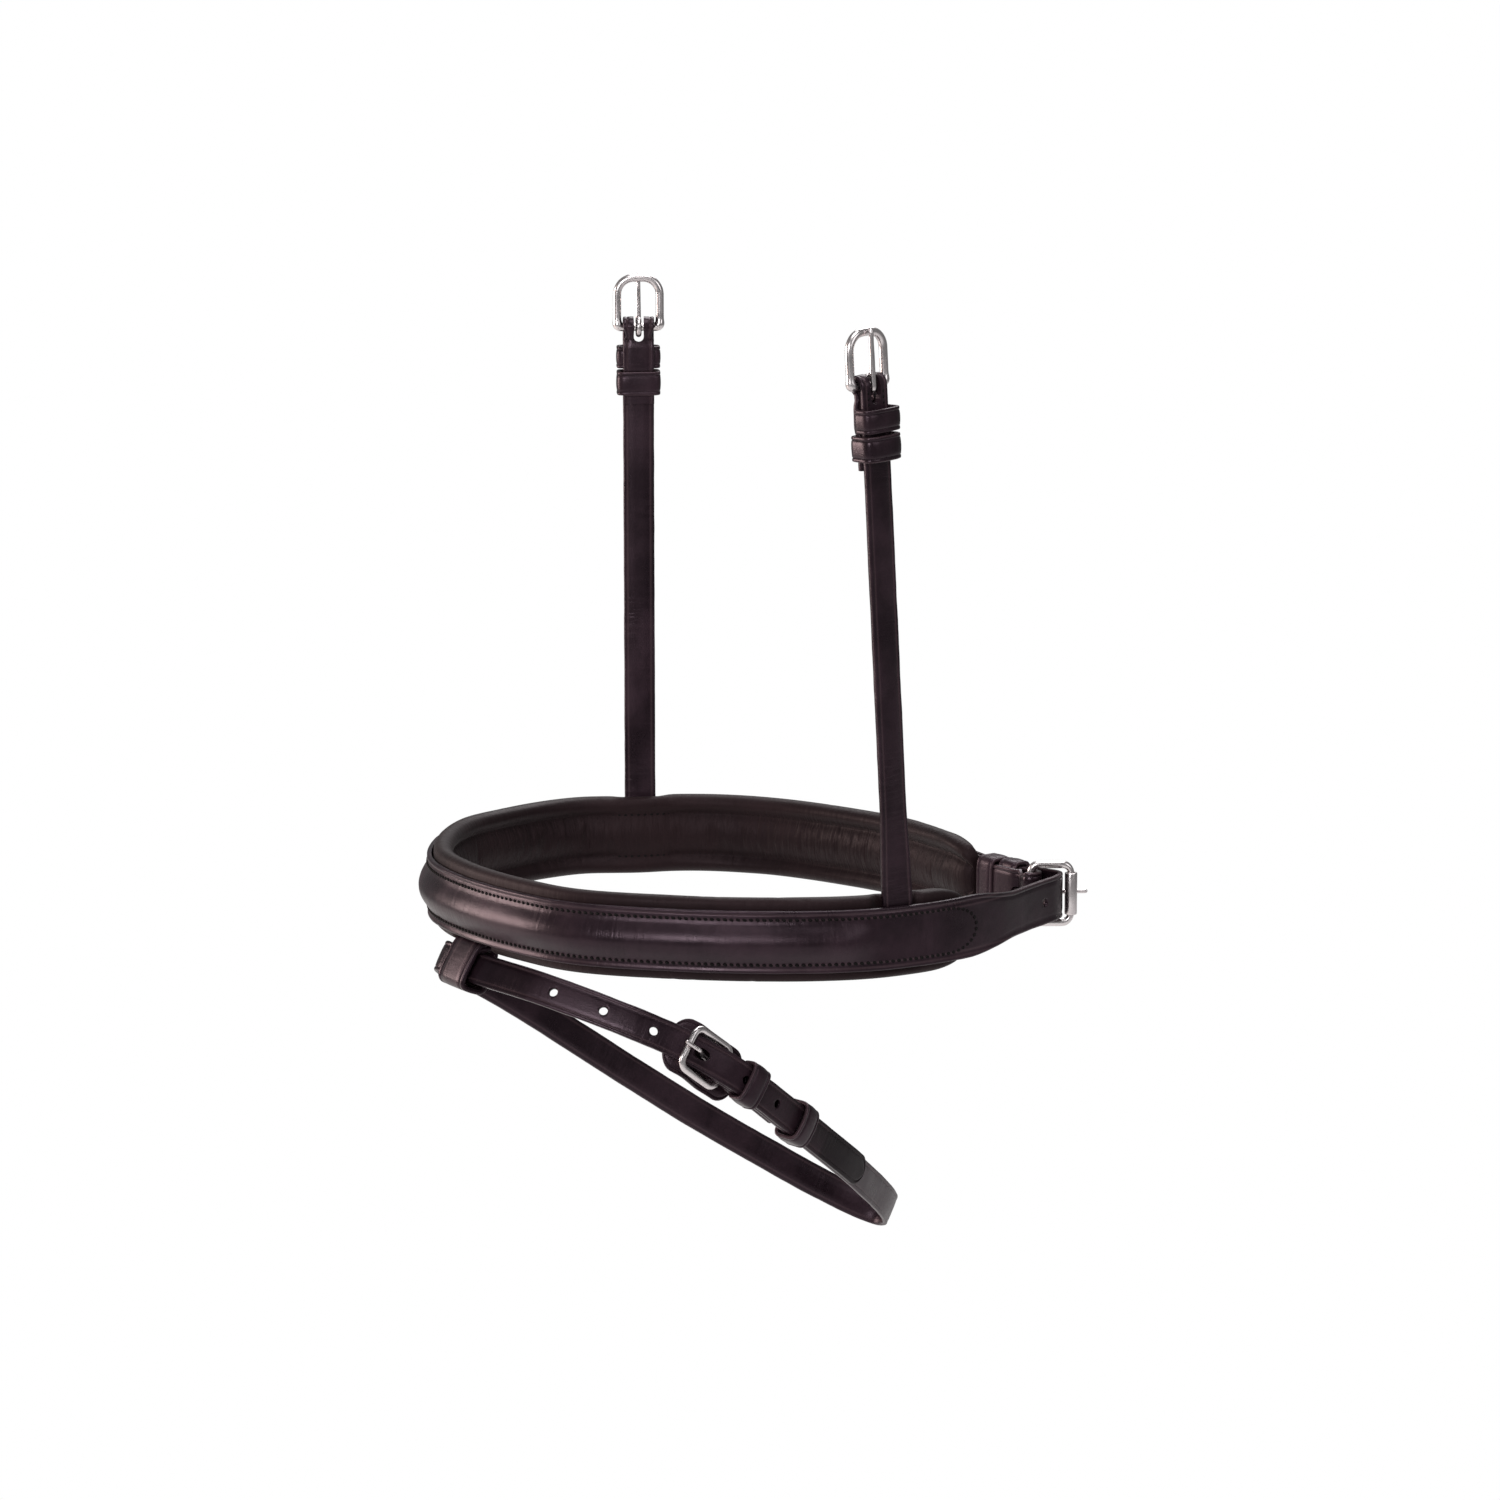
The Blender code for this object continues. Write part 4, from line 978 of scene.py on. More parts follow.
class Graph:
    """Short names for building a material's nodes."""

    def __init__(self, name: str) -> None:
        """Start a material.

        Args:
            name: the material's name.
        """
        self.material = bpy.data.materials.new(name)
        self.material.use_nodes = True
        self.tree = self.material.node_tree
        self.shader = self.tree.nodes["Principled BSDF"]

    def node(self, kind: str, **values: object) -> bpy.types.Node:
        """Add a node.

        Args:
            kind: the node's type.
            values: its settings, or its inputs by name with spaces as underscores.

        Returns:
            The node.
        """
        made = self.tree.nodes.new(kind)
        for key, value in values.items():
            if hasattr(made, key):
                setattr(made, key, value)
            else:
                made.inputs[key.replace("_", " ")].default_value = value
        return made

    def link(self, source: bpy.types.NodeSocket, target: bpy.types.NodeSocket) -> None:
        """Join two sockets.

        Args:
            source: an output.
            target: an input.
        """
        self.tree.links.new(source, target)

    def maths(self, operation: str, *terms: float | bpy.types.NodeSocket) -> bpy.types.NodeSocket:
        """Add a sum.

        Args:
            operation: which one.
            terms: its values or the outputs that feed it.

        Returns:
            The result.
        """
        made = self.node("ShaderNodeMath", operation=operation)
        for socket, term in zip(made.inputs, terms):
            if isinstance(term, bpy.types.NodeSocket):
                self.link(term, socket)
            else:
                socket.default_value = term
        return made.outputs[0]

    def span(self, value: bpy.types.NodeSocket, low: float, high: float,
             to_low: float = 0.0, to_high: float = 1.0) -> bpy.types.NodeSocket:
        """Map a value smoothly from one span to another.

        Args:
            value: what is mapped.
            low: where the span starts.
            high: where it ends.
            to_low: result at the start.
            to_high: result at the end.

        Returns:
            The mapped value.
        """
        made = self.node("ShaderNodeMapRange", interpolation_type="SMOOTHSTEP")
        self.link(value, made.inputs[0])
        for index, number in enumerate((low, high, to_low, to_high), start=1):
            made.inputs[index].default_value = number
        return made.outputs[0]

    def noise(self, scale: float, detail: float = 3.0, roughness: float = 0.55,
              stretch: tuple[float, float, float] = (1.0, 1.0, 1.0),
              on_strap: bool = False) -> bpy.types.NodeSocket:
        """Add cloudy noise.

        Args:
            scale: how fine it is.
            detail: its octaves.
            roughness: strength of the finer octaves.
            stretch: scale of each direction.
            on_strap: whether it follows the strap's own directions.

        Returns:
            The noise, about 0.5.
        """
        made = self.node("ShaderNodeTexNoise", Scale=scale, Detail=detail, Roughness=roughness)
        place = self.node("ShaderNodeMapping")
        place.inputs["Scale"].default_value = stretch
        self.link(self.strap_map() if on_strap else self.object_map(), place.inputs[0])
        self.link(place.outputs[0], made.inputs[0])
        return made.outputs[0]

    def object_map(self) -> bpy.types.NodeSocket:
        """Give the place on the object, in metres.

        Returns:
            The place.
        """
        return self.node("ShaderNodeTexCoord").outputs["Object"]

    def strap_map(self) -> bpy.types.NodeSocket:
        """Give the length along the strap and the place across it, in metres.

        Returns:
            Both as a vector.
        """
        made = self.node("ShaderNodeUVMap")
        made.uv_map = "strap"
        return made.outputs[0]

    def strap_parts(self) -> tuple[bpy.types.NodeSocket, bpy.types.NodeSocket]:
        """Split the place on the strap.

        Returns:
            The length along the strap, and the distance from its middle.
        """
        split = self.node("ShaderNodeSeparateXYZ")
        self.link(self.strap_map(), split.inputs[0])
        return split.outputs[0], self.maths("ABSOLUTE", split.outputs[1])

    def pores(self, scale: float) -> bpy.types.NodeSocket:
        """Add the cells of a leather's grain.

        Args:
            scale: how fine they are.

        Returns:
            Their height.
        """
        made = self.node("ShaderNodeTexVoronoi", Scale=scale, feature="SMOOTH_F1")
        self.link(self.object_map(), made.inputs["Vector"])
        return made.outputs[0]

    def blend(self, share: bpy.types.NodeSocket, first: Sequence[float] | bpy.types.NodeSocket,
              second: Sequence[float] | bpy.types.NodeSocket,
              kind: str = "MIX") -> bpy.types.NodeSocket:
        """Mix two colours.

        Args:
            share: how much of the second.
            first: a colour or an output.
            second: a colour or an output.
            kind: how they mix.

        Returns:
            The colour.
        """
        made = self.node("ShaderNodeMix", data_type="RGBA", blend_type=kind)
        self.link(share, made.inputs[0])
        for socket, colour in ((made.inputs[6], first), (made.inputs[7], second)):
            if isinstance(colour, bpy.types.NodeSocket):
                self.link(colour, socket)
            else:
                socket.default_value = (*colour[:3], 1.0)
        return made.outputs[2]

    def bump(self, height: bpy.types.NodeSocket, distance: float, strength: float = 1.0,
             under: bpy.types.NodeSocket | None = None) -> bpy.types.NodeSocket:
        """Add relief.

        Args:
            height: its height, 0 to 1.
            distance: what a height of 1 is, in metres.
            strength: share of it that shows.
            under: relief that it lies on.

        Returns:
            The normal.
        """
        made = self.node("ShaderNodeBump", Distance=distance, Strength=strength)
        self.link(height, made.inputs["Height"])
        if under is not None:
            self.link(under, made.inputs["Normal"])
        return made.outputs[0]


Colour = tuple[float, float, float]


@dataclass(frozen=True)
class GrainLeather:
    """Smooth outer leather: fine grain, creases across the strap and wear on its high places."""

    name: str
    base: Colour = (0.0068, 0.0034, 0.0052)
    worn: Colour = (0.021, 0.0108, 0.0155)
    # pale: colour of the painted highlight lines along the creases and rows of stitches.
    pale: Colour = (0.056, 0.034, 0.039)
    gloss: float = 0.31
    grain: float = 2600.0
    grain_depth: float = 0.00006
    crease: float = 0.16
    crease_pitch: float = 520.0
    # Strength, places and half width of those painted highlight lines.
    crease_highlight: float = 0.55
    lines: tuple[float, ...] = (0.0045,)
    line_half: float = 0.0007
    # Reach from a billet's end of the painted shade on its tip; 0 for none.
    tip_shade_reach: float = 0.0

    def make(self) -> bpy.types.Material:
        """Build the material.

        Returns:
            The material.
        """
        graph = Graph(self.name)
        cloud = graph.noise(38.0, 4.0)
        fine = graph.noise(420.0, 3.0)
        tone = graph.blend(graph.span(cloud, 0.38, 0.68), self.base, self.worn)
        tone = graph.blend(graph.span(fine, 0.35, 0.75, 0.0, 0.35), tone, self.base)
        pores = graph.pores(self.grain)
        across = graph.noise(1.0, 3.0, 0.6, (self.crease_pitch, 55.0, 1.0), on_strap=True)
        where = graph.span(graph.noise(30.0, 2.0), 0.42, 0.66)
        folds = graph.maths("MULTIPLY", graph.span(across, 0.44, 0.60), where)
        tone = graph.blend(graph.maths("MULTIPLY", folds, self.crease), tone, self.worn)
        along, far = graph.strap_parts()
        # Painted highlight: a pale line along each crease or row of stitches.
        for place in self.lines:
            away = graph.maths("ABSOLUTE", graph.maths("SUBTRACT", far, place))
            line = graph.span(away, 0.0, self.line_half, self.crease_highlight, 0.0)
            tone = graph.blend(line, tone, self.pale)
        # Painted shade on the billet's tip: darker colour up to this reach, and dimmer reflection
        # out to four times it.
        if self.tip_shade_reach:
            tip = graph.span(along, self.tip_shade_reach * 0.9, self.tip_shade_reach, 0.85, 0.0)
            tone = graph.blend(tip, tone, tuple(part * 0.4 for part in self.base))
            beyond = graph.span(along, self.tip_shade_reach, self.tip_shade_reach * 4.0)
            specular = graph.maths("MULTIPLY", graph.maths("ADD", beyond, 0.35), 0.26)
            graph.link(specular, graph.shader.inputs["Specular IOR Level"])
        graph.link(tone, graph.shader.inputs["Base Color"])
        rough = graph.span(cloud, 0.3, 0.7, self.gloss - 0.06, self.gloss + 0.09)
        rough = graph.maths("ADD", rough, graph.maths("MULTIPLY", folds, 0.05))
        graph.link(rough, graph.shader.inputs["Roughness"])
        graph.shader.inputs["Specular IOR Level"].default_value = 0.34
        graph.shader.inputs["Specular Tint"].default_value = (1.0, 0.74, 0.88, 1.0)
        relief = graph.bump(pores, self.grain_depth, 0.5)
        relief = graph.bump(folds, 0.00007, 0.6, relief)
        relief = graph.bump(fine, 0.00005, 0.6, relief)
        graph.link(relief, graph.shader.inputs["Normal"])
        return graph.material


@dataclass(frozen=True)
class EdgeLeather:
    """Burnished edge: fibres along the strap under a dark dressing, rubbed lighter in places."""

    name: str
    base: Colour = (0.008, 0.0045, 0.005)
    rubbed: Colour = (0.050, 0.028, 0.024)

    def make(self) -> bpy.types.Material:
        """Build the material.

        Returns:
            The material.
        """
        graph = Graph(self.name)
        fibres = graph.noise(1.0, 4.0, 0.6, (160.0, 2200.0, 1.0), on_strap=True)
        patches = graph.span(graph.noise(90.0, 3.0), 0.45, 0.72)
        share = graph.maths("MULTIPLY", patches, graph.span(fibres, 0.35, 0.70))
        graph.link(graph.blend(share, self.base, self.rubbed), graph.shader.inputs["Base Color"])
        graph.shader.inputs["Roughness"].default_value = 0.46
        graph.shader.inputs["Specular IOR Level"].default_value = 0.28
        graph.link(graph.bump(fibres, 0.00010, 0.6), graph.shader.inputs["Normal"])
        return graph.material


@dataclass(frozen=True)
class FleshLeather:
    """Inner side of a strap: short nap, sealed and nearly as dark as the outside."""

    name: str
    base: Colour = (0.0105, 0.0058, 0.0068)
    pale: Colour = (0.030, 0.0170, 0.0178)

    def make(self) -> bpy.types.Material:
        """Build the material.

        Returns:
            The material.
        """
        graph = Graph(self.name)
        nap = graph.noise(900.0, 5.0, 0.65)
        cloud = graph.noise(60.0, 3.0)
        share = graph.maths("MULTIPLY", graph.span(cloud, 0.35, 0.75), graph.span(nap, 0.3, 0.7))
        graph.link(graph.blend(share, self.base, self.pale), graph.shader.inputs["Base Color"])
        graph.shader.inputs["Roughness"].default_value = 0.62
        graph.shader.inputs["Specular IOR Level"].default_value = 0.2
        graph.shader.inputs["Sheen Weight"].default_value = 0.04
        graph.shader.inputs["Sheen Roughness"].default_value = 0.5
        graph.link(graph.bump(nap, 0.00010, 0.7), graph.shader.inputs["Normal"])
        return graph.material


@dataclass(frozen=True)
class RawLeather:
    """Leather where it is cut and not dressed: orange tan with loose fibres."""

    name: str
    base: Colour = (0.30, 0.115, 0.040)
    dark: Colour = (0.060, 0.022, 0.012)

    def make(self) -> bpy.types.Material:
        """Build the material.

        Returns:
            The material.
        """
        graph = Graph(self.name)
        fibres = graph.noise(1500.0, 4.0, 0.7)
        share = graph.span(graph.noise(260.0, 2.0), 0.35, 0.70)
        graph.link(graph.blend(share, self.base, self.dark), graph.shader.inputs["Base Color"])
        graph.shader.inputs["Roughness"].default_value = 0.75
        graph.link(graph.bump(fibres, 0.00015, 0.8), graph.shader.inputs["Normal"])
        return graph.material


@dataclass(frozen=True)
class SoftLeather:
    """Thin lining leather: matt, with close wrinkles across it and puckers at the stitches."""

    name: str
    base: Colour = (0.0064, 0.0029, 0.0034)
    high: Colour = (0.0165, 0.0082, 0.0092)
    gloss: float = 0.50
    grain: float = 2100.0

    def make(self) -> bpy.types.Material:
        """Build the material.

        Returns:
            The material.
        """
        graph = Graph(self.name)
        cloud = graph.noise(26.0, 4.0)
        close = graph.noise(1.0, 3.0, 0.6, (420.0, 60.0, 1.0), on_strap=True)
        wide = graph.noise(1.0, 2.0, 0.5, (170.0, 45.0, 1.0), on_strap=True)
        pores = graph.pores(self.grain)
        _, far = graph.strap_parts()
        middle = graph.span(far, 0.0075, 0.0105, 1.0, 0.35)
        ridges = graph.maths("MULTIPLY", graph.span(close, 0.36, 0.62), middle)
        share = graph.maths("MULTIPLY", graph.span(cloud, 0.35, 0.70), 0.7)
        tone = graph.blend(share, self.base, self.high)
        tone = graph.blend(graph.maths("MULTIPLY", ridges, 0.22), tone, self.high)
        graph.link(tone, graph.shader.inputs["Base Color"])
        rough = graph.span(cloud, 0.3, 0.7, self.gloss - 0.05, self.gloss + 0.08)
        graph.link(rough, graph.shader.inputs["Roughness"])
        graph.shader.inputs["Specular IOR Level"].default_value = 0.17
        graph.shader.inputs["Specular Tint"].default_value = (1.0, 0.76, 0.83, 1.0)
        graph.shader.inputs["Sheen Weight"].default_value = 0.03
        relief = graph.bump(pores, 0.00005, 0.5)
        relief = graph.bump(ridges, 0.00022, 0.8, relief)
        relief = graph.bump(graph.maths("MULTIPLY", wide, middle), 0.0005, 0.8, relief)
        graph.link(relief, graph.shader.inputs["Normal"])
        return graph.material


@dataclass(frozen=True)
class Thread:
    """Waxed dark thread, twisted."""

    name: str
    base: Colour = (0.0022, 0.0014, 0.0016)

    def make(self) -> bpy.types.Material:
        """Build the material.

        Returns:
            The material.
        """
        graph = Graph(self.name)
        twist = graph.noise(1600.0, 2.0)
        lit = tuple(part * 2.4 for part in self.base)
        graph.link(graph.blend(twist, self.base, lit), graph.shader.inputs["Base Color"])
        graph.shader.inputs["Roughness"].default_value = 0.70
        graph.shader.inputs["Specular IOR Level"].default_value = 0.15
        graph.link(graph.bump(twist, 0.00008, 0.7), graph.shader.inputs["Normal"])
        return graph.material


@dataclass(frozen=True)
class Steel:
    """Polished stainless steel, with hairline scratches and a dull bloom where it is handled."""

    name: str
    base: Colour = (0.70, 0.655, 0.66)
    gloss: float = 0.24

    def make(self) -> bpy.types.Material:
        """Build the material.

        Returns:
            The material.
        """
        graph = Graph(self.name)
        hair = graph.noise(300.0, 4.0, 0.7, (9.0, 1.0, 9.0))
        bloom = graph.noise(120.0, 3.0)
        graph.shader.inputs["Metallic"].default_value = 1.0
        tone = graph.blend(graph.span(bloom, 0.4, 0.75, 0.0, 0.5), self.base, (0.56, 0.51, 0.52))
        graph.link(tone, graph.shader.inputs["Base Color"])
        rough = graph.span(bloom, 0.3, 0.7, self.gloss - 0.04, self.gloss + 0.10)
        graph.link(rough, graph.shader.inputs["Roughness"])
        graph.link(graph.bump(hair, 0.00002, 0.5), graph.shader.inputs["Normal"])
        return graph.material


def joint_at(name: str) -> Vector:
    """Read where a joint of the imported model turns.

    Args:
        name: the joint's name.

    Returns:
        The point.
    """
    return Vector(next(joint for joint in frame["joints"] if joint["name"] == name)["pos_m"])


@dataclass
class BandRoute:
    """Middle line of the noseband's strap: billet, once round the ring, and the turned-in end."""

    heel: Vector = field(default_factory=lambda: joint_at("jaw_frame_lift"))
    route: Route = field(init=False)
    fold: list[Station] = field(init=False)
    frame_forward: Vector = field(init=False)
    passing: Vector = field(init=False)
    nose_length: float = field(init=False)

    def __post_init__(self) -> None:
        """Lay the line."""
        plan = [Vector((RING_HALF_WIDTH * x_share, RING_HALF_DEPTH * y_share, 0.0))
                for x_share, y_share in RING_PLAN_SHARES]
        heading = (plan[-1] - plan[-2]).normalized()
        turn = math.atan2(heading.y, heading.x) + JAW_FRAME_TURN
        self.frame_forward = Vector((math.cos(turn), math.sin(turn), 0.0))
        ring = Route(stations_of(smooth_route(plan, STEP), UP))
        first_over = (JAW_WIRE / 2.0 + GAP + BAND_THICK / 2.0) * 2.6
        over = lap_over(ring, JAW_TIP_REACH, first_over, BAND_THICK)
        self.passing = self.heel + self.frame_forward * JAW_PASS
        whole = stations_of(smooth_route(over + [self.passing] + plan, STEP), UP)
        self.fold, _ = fold_back(whole, JAW_WIRE / 2.0, BAND_THICK, JAW_TURN_IN, JAW_KEEPER_DROP)
        self.route = Route(whole)
        slot = joint_at("flash_swing")
        self.nose_length = self.route.nearest_length(Vector((slot.x, slot.y, 0.0)))

    @property
    def pad_far_reach(self) -> float:
        """Length from the nose to the padding's end on the right."""
        return self.route.total - self.nose_length - JAW_TURN_IN - PAD_TO_CHAPE

    def at(self, distance: float) -> Station:
        """Read a station.

        Args:
            distance: signed length from the nose; the left side is negative.

        Returns:
            The station there.
        """
        return self.route.at(self.nose_length + distance)

    def height_at(self, distance: float) -> float:
        """Read the strap's height.

        Args:
            distance: signed length from the nose.

        Returns:
            The height there, before the tip is rounded.
        """
        wide = ease((distance + PAD_NEAR_REACH + NARROWING) / NARROWING)
        wide *= ease((self.pad_far_reach - PAD_TAPER - distance) / PAD_TAPER)
        return BILLET_HEIGHT + (BAND_HEIGHT - BILLET_HEIGHT) * wide

    def lift_at(self, distance: float) -> float:
        """Read how far the strap's middle is raised.

        Args:
            distance: signed length from the nose.

        Returns:
            The lift there.
        """
        return RAISE * ease((CORE_REACH + CORE_TAPER - abs(distance)) / (CORE_TAPER * 1.6))

    def dip_at(self, distance: float, height: float) -> float:
        """Read how far the lining's back stands away for a hanger or the tab.

        Args:
            distance: signed length from the nose.
            height: height from the strap's middle.

        Returns:
            The depth of the dip.
        """
        low = ease((TAB_HEM - BAND_HEIGHT / 2.0 + POCKET_EASE * 1.6 - height) / POCKET_EASE)
        high = ease((height + HANGER_TAIL + POCKET_EASE * 0.7) / (POCKET_EASE * 0.7))
        hanger = (HANGER_WIDTH / 2.0 + POCKET_EASE, (HANGER_THICK + GAP) * high)
        tab = (TAB_WIDTH / 2.0 + POCKET_EASE, (TAB_THICK + TAB_INSET + GAP) * low)
        places = ((-HANGER_REACH_LEFT, *hanger), (HANGER_REACH_RIGHT, *hanger), (0.0, *tab))
        return max(depth * ease((half - abs(distance - middle)) / (POCKET_EASE * 0.8))
                   for middle, half, depth in places)

    def pad_share_at(self, distance: float) -> float:
        """Read the share of its full size that the padding has.

        Args:
            distance: signed length from the nose.

        Returns:
            The share, 0 at both ends.
        """
        near = (distance + PAD_NEAR_REACH) / PAD_TAPER
        far = (self.pad_far_reach - distance) / PAD_TAPER
        share = min(max(min(near, far), 0.0), 1.0)
        return math.sqrt(1.0 - (1.0 - share) ** 2)


@dataclass
class LoopRoute:
    """Middle line of the flash strap: billet, loop, and the turned-in end."""

    slot: Vector = field(default_factory=lambda: joint_at("flash_swing"))
    heel: Vector = field(default_factory=lambda: joint_at("flash_frame_lift"))
    route: Route = field(init=False)
    fold: list[Station] = field(init=False)
    width_axis: Vector = field(init=False)

    def __post_init__(self) -> None:
        """Lay the line."""
        along = Vector((0.0, math.cos(FLASH_SLOPE), -math.sin(FLASH_SLOPE)))
        side = Vector((1.0, 0.0, 0.0))
        across = side * math.cos(FLASH_ROLL) + side.cross(along) * math.sin(FLASH_ROLL)
        normal = along.cross(across)
        self.width_axis = normal if normal.z > 0.0 else -normal

        def spot(shares: Sequence[float]) -> Vector:
            """Turn shares of the reach into a point."""
            steps = (along * shares[0], across * shares[1], self.width_axis * shares[2])
            return self.slot + (steps[0] + steps[1] + steps[2]) * FLASH_REACH

        near = [spot(shares) for shares in FLASH_NEAR_SHARES]
        far = [spot(shares) for shares in FLASH_FAR_SHARES]
        inner = Route(stations_of(smooth_route(near + far, STEP), self.width_axis))
        over = lap_over(inner, FLASH_TIP_REACH, self.fold_radius * 0.1, FLASH_THICK)
        whole = stations_of(smooth_route(over + near + far, STEP), self.width_axis)
        self.fold, _ = fold_back(whole, FLASH_WIRE / 2.0, FLASH_THICK, FLASH_TURN_IN,
                                 FLASH_KEEPER_DROP)
        self.route = Route(whole)

    @property
    def fold_radius(self) -> float:
        """Radius at which the strap's middle turns round the heel bar."""
        return FLASH_WIRE / 2.0 + GAP + FLASH_THICK / 2.0

    @property
    def heel_length(self) -> float:
        """Length along the billet to where it passes the heel bar."""
        return self.route.nearest_length(self.heel, 0.5)

    @property
    def end(self) -> Station:
        """Station where the strap meets its buckle."""
        return self.route.stations[-1]

    @property
    def bar_axis(self) -> Vector:
        """Direction of the heel bar."""
        return self.end.across.normalized()

    @property
    def forward(self) -> Vector:
        """Heading of the buckle frame."""
        return (self.end.heading * math.cos(FLASH_FRAME_TURN)
                + self.end.normal * math.sin(FLASH_FRAME_TURN)).normalized()


@dataclass
class HangerRoute:
    """Middle line of a hanger strap, from its sewn tail to its buckle and back."""

    side: Side
    band: BandRoute
    route: Route = field(init=False)
    fold: list[Station] = field(init=False)
    heel: Vector = field(init=False)

    def __post_init__(self) -> None:
        """Lay the line so that it ends round the buckle's heel bar."""
        reach, lean, twist = -HANGER_REACH_LEFT, HANGER_LEAN_LEFT, HANGER_TWIST_LEFT
        if self.side is Side.RIGHT:
            reach, lean, twist = HANGER_REACH_RIGHT, HANGER_LEAN_RIGHT, HANGER_TWIST_RIGHT
        self.heel = joint_at(f"hanger_frame_tilt_{self.side.value}")
        base = self.band.at(reach)
        foot = base.point - base.normal * (BAND_THICK / 2.0 + GAP + HANGER_THICK / 2.0)
        low = BAND_HEIGHT / 2.0
        count = round((HANGER_HEIGHT + HANGER_TAIL) / STEP)
        stations = []
        for step in range(count + 1):
            height = (HANGER_HEIGHT + HANGER_TAIL) * step / count - HANGER_TAIL
            risen = max(0.0, (height - low) / (HANGER_HEIGHT - low))
            turn = twist * ease((height - low) / (TWIST_HEIGHT - low))
            angle = math.atan2(base.normal.y, base.normal.x) + turn
            outward = Vector((math.cos(angle), math.sin(angle), 0.0))
            heading = Vector((0.0, lean if risen else 0.0, HANGER_HEIGHT - low)).normalized()
            square = (outward - heading * outward.dot(heading)).normalized()
            point = foot + UP * height + Vector((0.0, lean * risen, 0.0))
            stations.append(Station(point, heading, square))
        fold = (HANGER_WIRE / 2.0, HANGER_THICK, HANGER_TURN_IN, HANGER_KEEPER_DROP)
        _, made_heel = fold_back(stations, *fold)
        shift = self.heel - made_heel
        LOG.debug("hanger %s set over by %.2f mm", self.side.value, shift.length / MM)
        stations = [Station(item.point + shift, *item[1:]) for item in stations]
        self.fold, _ = fold_back(stations, *fold)
        self.route = Route(stations)

    @property
    def top(self) -> Station:
        """Station where the strap meets its buckle."""
        return self.route.stations[-1]


def weather(item: bpy.types.Object, amount: float, scale: float) -> None:
    """Make a surface gently uneven, as worn leather is.

    Args:
        item: the piece.
        amount: most that a point moves, in metres.
        scale: how many waves there are in a metre.
    """
    mesh = item.data
    for vertex, normal in zip(mesh.vertices, [item.vector.copy() for item in mesh.vertex_normals]):
        wave = noise.noise(vertex.co * scale) + 0.5 * noise.noise(vertex.co * scale * 2.7)
        vertex.co += normal * wave * amount / 1.5


def sew(name: str, places: Sequence[Station], thread: bpy.types.Material, body: str,
        length: float = 0.0019, width: float = 0.00115, slant: float = 0.42) -> bpy.types.Object:
    """Lay one slanted stitch at each place, its ends drawn down into the leather.

    Args:
        name: the object's name.
        places: a station on the surface for each stitch.
        thread: the thread's finish.
        body: the body that the stitches ride on.
        length: length of a stitch.
        width: width of the thread.
        slant: angle between the stitch and its row.

    Returns:
        The stitches as one object.
    """
    mesh_data = bmesh.new()
    shares = (-1.0, -0.86, -0.5, 0.0, 0.5, 0.86, 1.0)
    sides = 8
    for place in places:
        line = place.heading * math.cos(slant) + place.across * math.sin(slant)
        side = line.cross(place.normal)
        rings = []
        for share in shares:
            radius = width / 2.0 * math.sqrt(1.0 - share * share * 0.93)
            middle = place.point + line * share * length / 2.0
            middle += place.normal * width * (0.08 - 0.42 * share * share)
            ring = []
            for step in range(sides):
                angle = 2.0 * math.pi * step / sides
                reach = side * math.cos(angle) + place.normal * math.sin(angle) * 0.85
                ring.append(mesh_data.verts.new(middle + reach * radius))
            rings.append(ring)
        bridge(mesh_data, rings)
    item = dress(settle(name, mesh_data), [thread])
    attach(item, body)
    LOG.info("%s, %d stitches", name, len(places))
    return item


def sew_edges(name: str, route: Route, span: tuple[float, float], strap: tuple[float, float],
              thread: bpy.types.Material, body: str) -> bpy.types.Object:
    """Sew a fine row along each edge of a strap, over its turned-in end.

    Args:
        name: the object's name.
        route: the strap's line, which ends at its buckle.
        span: lengths from the buckle at which the rows start and end.
        strap: the strap's width and thickness.
        thread: the thread's finish.
        body: the body that the strap rides on.

    Returns:
        The stitches.
    """
    start, end = span
    inset = strap[0] / 2.0 - FINE_INSET
    count = round((end - start) / FINE_PITCH) + 1
    places = []
    for number in range(count):
        station = route.at(route.total - start - (end - start) * number / (count - 1))
        out = station.normal * (strap[1] / 2.0 - THREAD_SINK)
        places += [Station(station.point + station.across * inset * edge + out, station.heading,
                           station.normal) for edge in (-1.0, 1.0)]
    return sew(name, places, thread, body, FINE_LENGTH, FINE_THREAD)


@dataclass(frozen=True)
class LeatherSet:
    """The four finishes of one leather piece."""

    grain: bpy.types.Material
    edge: bpy.types.Material
    flesh: bpy.types.Material
    raw: bpy.types.Material

    def listed(self) -> list[bpy.types.Material]:
        """Give the finishes in the order of Part."""
        return [self.grain, self.edge, self.flesh, self.raw]


